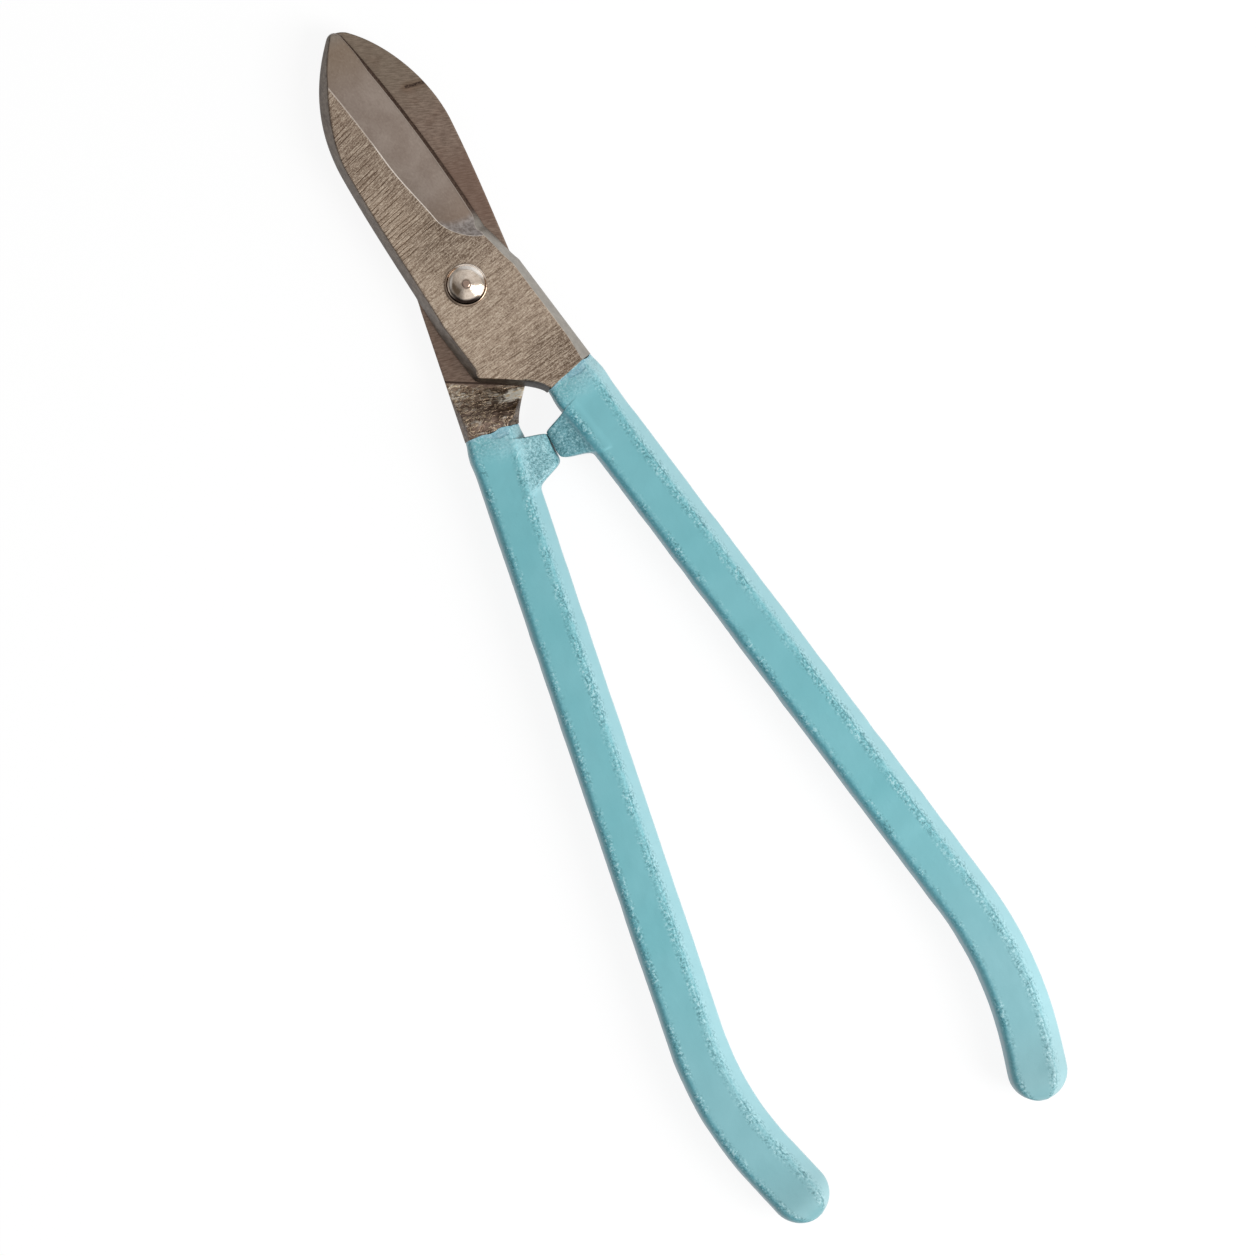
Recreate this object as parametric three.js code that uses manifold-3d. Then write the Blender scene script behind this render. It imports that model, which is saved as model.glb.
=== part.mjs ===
// Seven inch jewellers' shears: two drop-forged halves crossed on one rivet, each handle dipped in plastic.
// Lengths are millimetres and angles are degrees. +Y runs to the blade tips, +X to the front handle and +Z up
// through the front face. The origin is on the rivet's axis, at the small flat of its back end, on which the
// joint lies on a bench. A half is drawn as the front one: blade on the -X side, handle on the +X side and the
// inner face on the joint plane. The back half is the same forging turned over about +Y.
import * as THREE from "three";
import { mergeVertices } from "three/addons/utils/BufferGeometryUtils.js";
import Module from "manifold-3d";

// Blade and joint plate
const bladeReach = 40; // rivet to blade tip
const frontSpine = 8.2; // centre line to the widest point of the front blade's back
const backSpine = 9.1; // the same on the back blade, which is dressed less
const frontPlateSide = 6.55; // centre line to the side of the plate, below the rivet
const backPlateSide = 7.3;
const edgeHeel = 6.2; // centre line to the heel of the cutting edge
const heelRise = 6.3; // rivet to the heel, towards the tip
const plateThickness = 3;
const tipThinning = 0.5; // thickness that the flat face loses from heel to tip
const sideLand = 0.35; // upright part of a forged side, next to the joint plane
const sideLean = 1.1; // how far a side leans in from there to the outer face
const edgeLean = 1.9; // the same at the cutting edge, before the bevel takes most of it away
const noseFade = 7; // length over which the lean dies out towards the tip
const plateDrop = 12.4; // rivet to the plate's lower corner
const plateCorner = 5.1; // centre line to that corner
const throatRun = 0.9; // where the plate's lower edge joins the handle, below the coat's mouth
const throatLead = 2.4; // length over which that edge turns down into the handle
const jawClearance = 0.2; // between the two inner faces

// Ground bevel of the blade
const bevelWidth = 6.45; // ridge to cutting edge
const bevelHollow = 0.12; // sag of the wheel-ground face
const edgeThickness = 0.9; // steel left upright at the cutting edge
const runOutLength = 2.4; // step at the heel, where the wheel left the blade
const runOutDrop = 1.1; // how far that step reaches below the heel
const runOutSlant = 32; // tilt of the line where it meets the flat face
const runOutFootSlant = 11; // tilt of the line where it meets the bevel

// Ramp, where a half grows from one plate to the full thickness of the handle
const rampAngle = 30; // slant of its first line, which follows the other plate's lower edge
const rampClearance = 0.5; // between those two
const rampTail = 0.4; // full section left between ramp and coat

// Handle
const gripWidth = 8.05; // over the coat
const gripSwell = 0.4; // width added towards the end
const gripThickness = 6.3; // over the coat
const broadBand = 2.05; // sloping shoulder, broad on the side that faces +X and narrow on the other
const narrowBand = 1.05;
const mouthBandShare = 0.72; // the shoulders' share at the coat's mouth
const bandRun = 14; // length over which they grow to their full width
const gripRound = 0.55; // rounding of the section's corners
const frontGripOffset = 4.2; // where the handle's centre line, run up straight, crosses the rivet's level
const backGripOffset = 3.12;
const frontGripAngle = 8.95; // splay of the handle
const backGripAngle = 9.45;
const bendStart = 107.5; // rivet to the start of the handle's bend, along the tool
const frontBendRadius = 55;
const backBendRadius = 48;
const bendAngle = 24.5;
const frontReach = 138.3; // rivet to the handle's end, along the tool
const backReach = 137.8;
const frontMouth = 17.45; // rivet to the coat's mouth, along the tool
const backMouth = 19.8;
const frontMouthSlant = 5; // tilt of the dip line against the handle
const backMouthSlant = -2;
const coatWall = 0.5;
const coatGap = 0.25; // bond line between coat and steel
const mouthGap = 0.3; // between the coat's lip and the full shank
const steelStep = 0.12; // how far the bare shank lies below the coat's surface

// Stop lugs, which meet when the shears are shut
const frontLugLevel = 25.15; // rivet to the middle of the lug
const backLugLevel = 25.9;
const frontLugReach = 0.4; // centre line to the lug's face
const backLugReach = -0.1; // this one stands past the centre line
const lugTipLength = 4.6;
const lugRootLength = 6.7;
const lugThickness = 4.6;
const lugLean = 0.5; // how far its sides lean in, up its thickness
const lugRound = 0.8; // rounding of its corners

// Rivet
const rivetRadius = 2;
const boreRadius = 2.1;
const headRadius = 3;
const headRim = 0.3;
const headHeight = 1.3;
const pipRadius = 0.6; // raised centre of the head
const pipHeight = 0.15;
const setRadius = 2.9; // back end, spread by the hammer
const setHeight = 1.1;
const footRadius = 0.9; // flat in the middle of the back end
const headClearance = 0.12; // under each head

const overrun = 6; // how far a cutter or a buried end passes its target
const weldTolerance = 1e-4;
const curveSteps = 8; // facets to a stretch of an outline
const bevelSteps = 12; // stations of the bevel, heel to tip
const hollowSteps = 4; // facets across the bevel
const rampSteps = 8;
const bandSteps = 4; // stations between the coat's mouth and the full section
const arcSteps = 12; // stations round the handle's bend
const noseSteps = 5; // stations round the handle's end
const cornerSteps = 2; // facets to a rounded corner
const roundSteps = 48; // facets round the rivet and its bore

const { clamp, degToRad: rad, lerp, smoothstep } = THREE.MathUtils;
const halfJaw = jawClearance / 2;
const faceLevel = plateThickness + halfJaw; // outer face above the joint plane
const restHeight = faceLevel + headClearance + setHeight; // joint plane above the rivet's back end
const wasm = await Module();
wasm.setup();

const frontHalf = {
  spine: frontSpine,
  plateSide: frontPlateSide,
  gripOffset: frontGripOffset,
  gripAngle: frontGripAngle,
  mouth: frontMouth,
  mouthSlant: frontMouthSlant,
  bendRadius: frontBendRadius,
  reach: frontReach,
  lugLevel: frontLugLevel,
  lugReach: frontLugReach,
};
const backHalf = {
  spine: backSpine,
  plateSide: backPlateSide,
  gripOffset: backGripOffset,
  gripAngle: backGripAngle,
  mouth: backMouth,
  mouthSlant: backMouthSlant,
  bendRadius: backBendRadius,
  reach: backReach,
  lugLevel: backLugLevel,
  lugReach: backLugReach,
};

// Solids and meshes

// A closed geometry as a solid that can be joined and cut.
function solidOf(geometry) {
  const bare = geometry.clone();
  for (const name of ["normal", "uv"]) bare.deleteAttribute(name);
  const merged = mergeVertices(bare, weldTolerance);
  return new wasm.Manifold(
    new wasm.Mesh({
      numProp: 3,
      vertProperties: new Float32Array(merged.attributes.position.array),
      triVerts: new Uint32Array(merged.index.array),
    }),
  );
}

// A geometry from points and triangles, given as point numbers.
function geometryOf(points, faces) {
  const geometry = new THREE.BufferGeometry();
  geometry.setAttribute("position", new THREE.Float32BufferAttribute(points, 3));
  geometry.setIndex(faces);
  geometry.computeVertexNormals();
  return geometry;
}

// A solid as a mesh with its node's name and its finish.
function meshOf(solid, name, material) {
  const data = solid.getMesh();
  const mesh = new THREE.Mesh(geometryOf([...data.vertProperties], [...data.triVerts]), material);
  mesh.name = name;
  return mesh;
}

// Triangles over an anticlockwise outline.
function capFaces(outline) {
  const turned = ([a, b, c]) => THREE.ShapeUtils.isClockWise([outline[a], outline[b], outline[c]]);
  const faces = THREE.ShapeUtils.triangulateShape(outline, []);
  return faces.map((face) => (turned(face) ? [...face].reverse() : face));
}

// Skins a row of rings of equally many points and closes both ends. Each ring runs anticlockwise about the
// direction in which the row goes.
function loft(rings, firstCap, lastCap) {
  const count = rings[0].length;
  const last = (rings.length - 1) * count;
  const faces = [];
  for (let start = 0; start < last; start += count) {
    for (let i = 0; i < count; i++) {
      const [a, b] = [start + i, start + ((i + 1) % count)];
      faces.push(a, b, b + count, a, b + count, a + count);
    }
  }
  for (const [a, b, c] of firstCap) faces.push(a, c, b);
  for (const [a, b, c] of lastCap) faces.push(last + a, last + b, last + c);
  const points = rings.flat().flatMap((p) => [p.x, p.y, p.z]);
  return solidOf(geometryOf(points, faces));
}

// A box across the joint plane, with the middle of its upper end at a point, turned about +Z.
function slabBelow(point, width, length, height, turn) {
  const slab = new THREE.BoxGeometry(width, length, height);
  return solidOf(slab.translate(0, -length / 2, 0).rotateZ(turn).translate(point.x, point.y, 0));
}

// Outlines

// An anticlockwise outline with each point moved in by its own distance.
function insetOutline(points, distances) {
  const inward = (a, b) => new THREE.Vector2(a.y - b.y, b.x - a.x).normalize();
  return points.map((p, i) => {
    const before = inward(points.at(i - 1), p);
    const mean = before.clone().add(inward(p, points[(i + 1) % points.length])).normalize();
    return p.clone().addScaledVector(mean, distances[i] / mean.dot(before));
  });
}

// An outline with its corners rounded by curves that start at most a radius away from them.
function roundCorners(corners, radius) {
  return corners.flatMap((p, i) => {
    const cut = (q) => p.clone().lerp(q, Math.min(radius / p.distanceTo(q), 1 / 2));
    const start = cut(corners.at(i - 1));
    const end = cut(corners[(i + 1) % corners.length]);
    return new THREE.QuadraticBezierCurve(start, p, end).getPoints(cornerSteps);
  });
}

// Points of a path of lines and curves. A curve's control points come before its end, so a line is one
// point, a plain bend two and an S three.
function tracePath(start, stretches) {
  const path = new THREE.Path();
  path.moveTo(...start);
  const draw = [
    (p) => path.lineTo(...p),
    (...p) => path.quadraticCurveTo(...p.flat()),
    (...p) => path.bezierCurveTo(...p.flat()),
  ];
  for (const stretch of stretches) draw[stretch.length - 1](...stretch);
  return path.getPoints(curveSteps);
}

// A plate over an anticlockwise outline: upright from `base` to `land`, then leaning in to `far`, which
// may lie above or below.
function leaningPlate(outline, insets, base, land, far) {
  const top = insetOutline(outline, insets);
  const level = (points, z) => points.map((p) => new THREE.Vector3(p.x, p.y, z));
  const rings = [level(outline, base), level(outline, land), level(top, far)];
  const caps = [capFaces(outline), capFaces(top)];
  if (far < base) {
    rings.reverse();
    caps.reverse();
  }
  return loft(rings, ...caps);
}

// Handle

// Where the handle's centre line is at a distance along it from the rivet's level, and its splay there.
function gripStation(half, distance) {
  const splay = rad(half.gripAngle);
  const { bendRadius } = half;
  const straight = Math.min(distance, bendStart / Math.cos(splay));
  const turn = Math.min((distance - straight) / bendRadius, rad(bendAngle));
  const tail = distance - straight - bendRadius * turn;
  const angle = splay - turn;
  const across = bendRadius * (Math.cos(angle) - Math.cos(splay)) + tail * Math.sin(angle);
  const down = bendRadius * (Math.sin(splay) - Math.sin(angle)) + tail * Math.cos(angle);
  return {
    x: half.gripOffset + straight * Math.sin(splay) + across,
    y: -straight * Math.cos(splay) - down,
    angle,
  };
}

// Distance along the handle of a level below the rivet, on its straight part.
const alongGrip = (half, drop) => drop / Math.cos(rad(half.gripAngle));

// The handle's edge on its +X side (1) or its other side (-1), at a level below the rivet.
function gripEdge(half, side, drop, inset) {
  const { x } = gripStation(half, alongGrip(half, drop));
  return x + (side * (gripWidth / 2 - inset)) / Math.cos(rad(half.gripAngle));
}

// The handle's section, across and up: a flat top and bottom, each with a broad shoulder on one side and a
// narrow one on the other, so that the section looks the same when it is turned over.
function gripSection(inset, halfWidth, bandShare) {
  const [broad, narrow] = [broadBand * bandShare, narrowBand * bandShare];
  const [w, h] = [halfWidth, gripThickness / 2];
  const upper = [
    [w, sideLand],
    [w - broad, h],
    [narrow - w, h],
    [-w, sideLand],
  ];
  const corners = [...upper, ...upper.map(([x, y]) => [-x, -y])].map((p) => new THREE.Vector2(...p));
  return roundCorners(insetOutline(corners, corners.map(() => inset)), gripRound);
}

const noseTipShare = 0.12; // width left flat at the very end of the handle

// The handle as a solid, drawn in by an inset, from a distance along it to its rounded end. Its first
// section is tilted by the slant, which dies out over the run of the shoulders.
function gripSolid(half, inset, start, slant) {
  const mouth = alongGrip(half, half.mouth);
  const bend = alongGrip(half, bendStart);
  const bendEnd = bend + half.bendRadius * rad(bendAngle);
  const { y, angle: endAngle } = gripStation(half, bendEnd);
  const end = bendEnd + (half.reach + y) / Math.cos(endAngle);
  const nose = (gripWidth + gripSwell) / 2;
  const arcEnd = Math.min(bendEnd, end - nose);
  const ring = (distance, widthShare, heightShare) => {
    const { x, y, angle } = gripStation(half, distance);
    const halfWidth = gripWidth / 2 + (gripSwell / 2) * smoothstep(distance, bend, end);
    const bandShare = lerp(mouthBandShare, 1, smoothstep(distance, mouth, mouth + bandRun));
    const tilt = Math.tan(rad(slant)) * clamp((mouth + bandRun - distance) / bandRun, 0, 1);
    return gripSection(inset, halfWidth, bandShare).map((p) => {
      const across = p.x * widthShare;
      const along = -across * tilt;
      return new THREE.Vector3(
        x + across * Math.cos(angle) + along * Math.sin(angle),
        y + across * Math.sin(angle) - along * Math.cos(angle),
        p.y * heightShare,
      );
    });
  };
  const evenly = (from, to, count) => Array.from({ length: count }, (_, i) => lerp(from, to, i / count));
  const rings = [
    ...evenly(start, mouth + bandRun, bandSteps),
    ...evenly(mouth + bandRun, bend, 1),
    ...evenly(bend, arcEnd, arcSteps),
    arcEnd,
  ].map((distance) => ring(distance, 1, 1));
  for (let i = 0; i < noseSteps; i++) {
    const turn = ((i / noseSteps) * Math.PI) / 2;
    const round = Math.cos(turn);
    rings.push(ring(end - nose + (nose - inset) * Math.sin(turn), round, Math.sqrt(round)));
  }
  rings.push(ring(end - inset, noseTipShare, Math.sqrt(noseTipShare)));
  const caps = capFaces(gripSection(inset, gripWidth / 2, 1));
  return loft(rings, caps, caps);
}

// The stop lug on the handle's inner side, drawn in by an inset. Its root is buried in the handle.
function lugSolid(half, inset) {
  const root = gripStation(half, alongGrip(half, half.lugLevel)).x;
  const edge = gripEdge(half, -1, half.lugLevel, 0);
  const corners = [
    [half.lugReach, lugTipLength / 2],
    [half.lugReach, -lugTipLength / 2],
    [edge, -lugRootLength / 2],
    [root, -lugRootLength / 2],
    [root, lugRootLength / 2],
    [edge, lugRootLength / 2],
  ].map(([x, y]) => new THREE.Vector2(x, y - half.lugLevel));
  const drawnIn = insetOutline(corners, corners.map(() => inset));
  const plan = roundCorners(drawnIn, lugRound);
  const leaning = plan.map(() => lugLean);
  const top = lugThickness / 2 - inset;
  const upper = leaningPlate(plan, leaning, 0, sideLand, top);
  return upper.add(leaningPlate(plan, leaning, 0, -sideLand, -top));
}

// The coat over one handle and its lug, open at the mouth.
function coatSolid(half) {
  const mouth = alongGrip(half, half.mouth);
  const outside = gripSolid(half, 0, mouth, half.mouthSlant).add(lugSolid(half, 0));
  const inside = gripSolid(half, coatWall, mouth - overrun, half.mouthSlant).add(lugSolid(half, coatWall));
  return outside.subtract(inside);
}

// Forged half

// Shares of a blade's width to one side and of its reach
const noseEdgeShare = [0.17, 0.982]; // where the cutting edge starts, beside the nose
const noseCrownShare = [0.016, 1.015];
const noseBackShare = [-0.115, 0.994];
const edgeBellyShares = [
  [0.9, 0.4],
  [0.6, 0.725],
];
const spineShares = [
  [-0.695, 0.868],
  [-1, 0.725],
  [-1, 0.55],
];
const spineFallShare = [-0.97, 0.3];
const plateWaistShare = 0.3; // share of the plate's drop, above and below the rivet
const plateWaistWidthShare = 1.06; // of the plate's side
const throatShares = [-0.35, 1.13]; // of the plate's corner and drop
const shoulderShares = [
  [0.63, 0.24], // from the heel's width to the shoulder's, and of the heel's rise
  [0.47, 0.62],
];

// The cutting edge, heel to tip.
const cuttingEdge = new THREE.CubicBezierCurve(
  ...[[1, heelRise / bladeReach], ...edgeBellyShares, noseEdgeShare].map(
    ([x, y]) => new THREE.Vector2(x * edgeHeel, y * bladeReach),
  ),
);

// The plate's lower edge, from its corner to the handle.
function throatStretch(half) {
  const drop = half.mouth + throatRun;
  return [
    [throatShares[0] * plateCorner, -throatShares[1] * plateDrop],
    [gripEdge(half, -1, drop - throatLead, steelStep), throatLead - drop],
    [gripEdge(half, -1, drop, steelStep), -drop],
  ];
}

// The buried end of the shank, inside the coat.
function shankEnds(half) {
  const drop = half.mouth + overrun;
  return [-1, 1].map((side) => [gripEdge(half, side, drop, steelStep), -drop]);
}

// The plan of the outer plate, anticlockwise from the heel of the cutting edge.
function plateOutline(half) {
  const blade = ([x, y]) => [x * half.spine, y * bladeReach];
  const shoulder = gripEdge(half, 1, 0, steelStep);
  const waist = plateWaistShare * plateDrop;
  return tracePath(
    [edgeHeel, heelRise],
    [
      [...edgeBellyShares, noseEdgeShare].map(([x, y]) => [x * edgeHeel, y * bladeReach]),
      [noseCrownShare, noseBackShare].map(blade),
      spineShares.map(blade),
      [blade(spineFallShare), [-plateWaistWidthShare * half.plateSide, waist], [-half.plateSide, -waist]],
      [[-plateCorner, -plateDrop]],
      throatStretch(half),
      ...shankEnds(half).map((end) => [end]),
      [[shoulder, 0]],
      ...shoulderShares.map(([x, y]) => [[lerp(edgeHeel, shoulder, x), y * heelRise]]),
    ],
  );
}

// The plan of the shank below the joint plane, where it fills out to the full handle.
function shankOutline(half) {
  const shoulder = [gripEdge(half, 1, 0, steelStep), 0];
  const ends = [...shankEnds(half), shoulder, [-plateCorner, 0]];
  return tracePath([-plateCorner, -plateDrop], [throatStretch(half), ...ends.map((end) => [end])]);
}

const noseLeanShare = 0.12; // lean left at the nose

// How far each point of a plan leans in on its way to the outer face.
function leanInsets(half, outline, plusBand, minusBand) {
  return outline.map((p) => {
    const centre = gripStation(half, alongGrip(half, Math.max(-p.y, 0))).x;
    const band = (p.x > centre ? plusBand : minusBand) * mouthBandShare;
    const plate = lerp(sideLean, band, smoothstep(-p.y, plateDrop, half.mouth));
    const blade = p.x > 0 && p.y > heelRise ? edgeLean : sideLean;
    const fade = clamp((bladeReach - p.y) / noseFade, noseLeanShare, 1);
    return p.y > 0 ? blade * fade : plate;
  });
}

// The flat face's height above the joint plane, which falls from the heel to the tip.
const thinning = tipThinning / (bladeReach - heelRise);
const faceAt = (y) => faceLevel - thinning * Math.max(y - heelRise, 0);

const heelWidthShare = 0.78; // of the bevel's width, at the heel
const bevelGrowthShare = 0.4; // of the edge, over which the bevel grows to its full width
const firstBevelShare = 0.15; // of the edge, where the bevel proper starts

// What the wheel takes off the blade: a slightly hollow face from the ridge to the cutting edge, with a
// slanted step at the heel.
function bevelCutter() {
  const edgeLevel = halfJaw + edgeThickness;
  const ceiling = faceLevel + overrun;
  const ring = (edge, widthShare, slant, lift) => {
    const width = bevelWidth * widthShare;
    const at = (share, sag) =>
      new THREE.Vector3(
        edge.x - width * share,
        edge.y + width * share * Math.tan(rad(slant)),
        lerp(lerp(edgeLevel, faceAt(edge.y), share) - sag, faceLevel, lift),
      );
    const face = Array.from({ length: hollowSteps + 1 }, (_, i) => {
      const share = i / hollowSteps;
      return at(share, 4 * bevelHollow * share * (1 - share));
    });
    const [first, last] = [face[0], face.at(-1)];
    const above = (p, x) => new THREE.Vector3(p.x + x, p.y, ceiling);
    const outside = first.clone().setX(first.x + overrun);
    return [above(last, 0), above(first, overrun), outside, ...face];
  };
  const tip = cuttingEdge.getPoint(1);
  const beyond = tip.clone().addScaledVector(cuttingEdge.getTangent(1), overrun);
  const heel = cuttingEdge.getPoint(0);
  const below = heel.clone().setY(heelRise - runOutDrop);
  const foot = below.clone().setY(below.y + runOutLength);
  const rings = [
    ring(below, heelWidthShare, runOutSlant, 1),
    ring(foot, heelWidthShare, runOutFootSlant, 0),
  ];
  for (let i = 0; i <= bevelSteps; i++) {
    const share = lerp(firstBevelShare, 1, i / bevelSteps);
    const widthShare = lerp(heelWidthShare, 1, smoothstep(share, 0, bevelGrowthShare));
    rings.push(ring(cuttingEdge.getPoint(share), widthShare, 0, 0));
  }
  rings.push(ring(beyond, 1, 0, 0));
  const cap = Array.from({ length: rings[0].length - 2 }, (_, i) => [0, i + 1, i + 2]);
  return loft(rings, cap, cap);
}

const rampInnerShare = 1.5; // length of the ramp's first line past the plate's corner, of its width

// What is missing below the joint plane: everything above the ramp's first line, and what lies under the
// ramp, which falls from there in an S to the handle's lower face.
function rampCutter(half) {
  const slope = rad(rampAngle);
  const floor = -gripThickness / 2 - overrun;
  const span = 2 * bladeReach;
  const clear = new THREE.BoxGeometry(span, span, span).translate(0, span / 2, -span / 2).rotateZ(slope);
  const anchor = new THREE.Vector2(plateCorner, -plateDrop - rampClearance);
  const along = new THREE.Vector2(Math.cos(slope), Math.sin(slope));
  const station = gripStation(half, alongGrip(half, half.mouth) - mouthGap - rampTail);
  const across = new THREE.Vector2(Math.cos(station.angle), Math.sin(station.angle));
  const last = new THREE.Vector2(station.x, station.y);
  const reach = gripWidth / 2 + rampClearance;
  const spans = [gripWidth, -rampInnerShare * plateCorner];
  const first = spans.map((reach) => anchor.clone().addScaledVector(along, reach));
  const end = [1, -1].map((side) => last.clone().addScaledVector(across, side * reach));
  const ring = ([outer, inner], level) => [
    new THREE.Vector3(outer.x, outer.y, floor),
    new THREE.Vector3(outer.x, outer.y, level),
    new THREE.Vector3(inner.x, inner.y, level),
    new THREE.Vector3(inner.x, inner.y, floor),
  ];
  const back = new THREE.Vector2(-Math.sin(slope), Math.cos(slope)).multiplyScalar(rampClearance);
  const rings = [ring(first.map((p) => p.clone().add(back)), halfJaw)];
  for (let i = 0; i <= rampSteps; i++) {
    const share = i / rampSteps;
    const level = lerp(halfJaw, -gripThickness / 2, smoothstep(share, 0, 1));
    rings.push(ring([0, 1].map((side) => first[side].clone().lerp(end[side], share)), level));
  }
  const cap = [[0, 1, 2], [0, 2, 3]];
  return loft(rings, cap, cap).add(solidOf(clear.translate(anchor.x, anchor.y, halfJaw)));
}

// What the flat face loses towards the tip.
function tipCutter() {
  const length = bladeReach + overrun;
  const wedge = new THREE.BoxGeometry(4 * bladeReach, length, overrun);
  wedge.translate(0, length / 2, overrun / 2).rotateX(-Math.atan(thinning));
  return solidOf(wedge.translate(0, heelRise, faceLevel));
}

// One forging, from blade tip to the end of the tang inside the coat.
function halfSolid(half) {
  const mouth = alongGrip(half, half.mouth);
  const outline = plateOutline(half);
  const plate = leaningPlate(
    outline,
    leanInsets(half, outline, broadBand, narrowBand),
    halfJaw,
    halfJaw + sideLand,
    faceLevel,
  );
  const below = shankOutline(half);
  const shank = leaningPlate(
    below,
    leanInsets(half, below, narrowBand, broadBand),
    halfJaw + sideLand / 2,
    -sideLand,
    steelStep - gripThickness / 2,
  );
  const cut = gripStation(half, mouth - mouthGap);
  const size = 2 * (gripWidth + overrun);
  const beyond = slabBelow(cut, size, size, size, cut.angle + rad(half.mouthSlant));
  const inset = coatWall + coatGap;
  const bore = new THREE.CylinderGeometry(boreRadius, boreRadius, size, roundSteps).rotateX(Math.PI / 2);
  return plate
    .add(shank)
    .subtract(beyond)
    .subtract(rampCutter(half))
    .subtract(bevelCutter())
    .subtract(tipCutter())
    .subtract(solidOf(bore))
    .add(gripSolid(half, inset, mouth - mouthGap - rampTail, 0))
    .add(lugSolid(half, inset));
}

// Rivet

// A domed head with a thin rim and a small pip in front, and an end spread by the hammer behind.
function rivetGeometry() {
  const [headBase, setBase] = [faceLevel + headClearance, -faceLevel - headClearance];
  const crown = headBase + headHeight - pipHeight;
  const profile = tracePath(
    [0, setBase - setHeight],
    [
      [[footRadius, setBase - setHeight]],
      [[setRadius, setBase - setHeight], [setRadius, setBase]],
      [[rivetRadius, setBase]],
      [[rivetRadius, headBase]],
      [[headRadius, headBase]],
      [[headRadius, headBase + headRim]],
      [[headRadius - headRim, crown], [pipRadius, crown]],
      [[pipRadius, crown + pipHeight], [0, crown + pipHeight]],
    ],
  );
  return new THREE.LatheGeometry(profile, roundSteps).rotateX(Math.PI / 2);
}

const groundSteel = new THREE.MeshStandardMaterial({ color: 0x94867a, metalness: 1, roughness: 0.42 });
const rivetSteel = new THREE.MeshStandardMaterial({ color: 0xb9b4ac, metalness: 1, roughness: 0.28 });
const coatPlastic = new THREE.MeshStandardMaterial({ color: 0x7ab6c0, metalness: 0, roughness: 0.38 });

const rivet = new THREE.Mesh(rivetGeometry(), rivetSteel);
rivet.name = "pivot_rivet";

const turnedOver = new THREE.Group();
turnedOver.rotation.y = Math.PI;
turnedOver.add(
  meshOf(halfSolid(backHalf), "back_half", groundSteel),
  meshOf(coatSolid(backHalf), "back_coat", coatPlastic),
);

const shears = new THREE.Group();
shears.position.z = restHeight;
shears.add(
  meshOf(halfSolid(frontHalf), "front_half", groundSteel),
  meshOf(coatSolid(frontHalf), "front_coat", coatPlastic),
  turnedOver,
  rivet,
);

export default shears;
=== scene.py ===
"""The looks of the jewellers' shears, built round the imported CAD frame.

Lengths are millimetres until a mesh is made, which is in metres. A half is drawn as the front one: blade on
the -X side, handle on the +X side, inner face on the joint plane at z = 0. The back half is the same turned
over about +Y. Both are then lifted by the height of the joint plane above the floor.
"""

import math

import bmesh
import bpy
import numpy as np
from mathutils import Matrix, Vector


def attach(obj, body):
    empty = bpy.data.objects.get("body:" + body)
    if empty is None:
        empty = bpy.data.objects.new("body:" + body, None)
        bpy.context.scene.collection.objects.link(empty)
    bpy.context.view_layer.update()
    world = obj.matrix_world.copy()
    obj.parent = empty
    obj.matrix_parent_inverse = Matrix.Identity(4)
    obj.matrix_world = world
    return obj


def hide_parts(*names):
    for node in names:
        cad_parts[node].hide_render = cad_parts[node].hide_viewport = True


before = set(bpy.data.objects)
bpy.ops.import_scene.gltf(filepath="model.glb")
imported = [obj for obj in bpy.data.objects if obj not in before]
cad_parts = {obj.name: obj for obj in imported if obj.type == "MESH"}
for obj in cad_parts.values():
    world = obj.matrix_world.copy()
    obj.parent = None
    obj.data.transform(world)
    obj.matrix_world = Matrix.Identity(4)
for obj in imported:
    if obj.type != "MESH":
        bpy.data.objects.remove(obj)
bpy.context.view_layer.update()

MM = 0.001
TAU = 2 * math.pi
LATTICE = 256  # random numbers each way in a noise's table

# Blade and joint plate
BLADE_REACH = 40.0
EDGE_HEEL = 6.2  # centre line to the heel of the cutting edge
HEEL_RISE = 6.3
TIP_THINNING = 0.5
SIDE_LAND = 0.35  # upright part of a side, next to the joint plane
SIDE_LEAN = 1.1
EDGE_LEAN = 2.0
NOSE_FADE = 7.0
NOSE_SPINE = 0.45  # by how much the spine's lean widens towards the nose
NOSE_EDGE_SHARE = 0.5  # what is left at the nose of the cutting side's lean
NOSE_LEAN = 0.8
NOSE_FROM = 20.0  # level above which the nose has a slope of its own
NOSE_ROW = 39.5  # level of the last row, before it takes up the nose's curve
NOSE_RUN = 6.5  # below that row, over which the rows take it up
SPINE_FROM = 22.0  # level from which the spine's lean widens
SPINE_RUN = 9.0
SIDE_ROUND = 0.3  # reach over which a side runs into a face
STEEL_CREASE = 32.0  # an edge that turns by more degrees than this stays sharp
PLATE_DROP = 12.4
PLATE_CORNER = 5.1
THROAT_RUN = 0.9
THROAT_LEAD = 1.4
THROAT_DEPTH = 8.0  # below the mouth, where the plan ends under the coat
FOOT_SHARES = (0.3, 1.178)  # of the plate's corner and drop, where the foot's curve is pulled to
ROW_LEVELS = [NOSE_ROW, 37, 33, 9.6, 4.2, -3, -11.5]  # between them, and down to the mouth, rows are even
ROW_COUNTS = [16, 14, 66, 60, 22, 26, 66]
COLUMN_COUNTS = (10, 24, 32, 9)  # over the left slope, to the ridge, over the bevel, over the right slope
HALF_JAW = 0.1  # joint plane to each inner face
FACE_LEVEL = 3.1
REST_HEIGHT = 4.32  # joint plane above the floor

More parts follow.
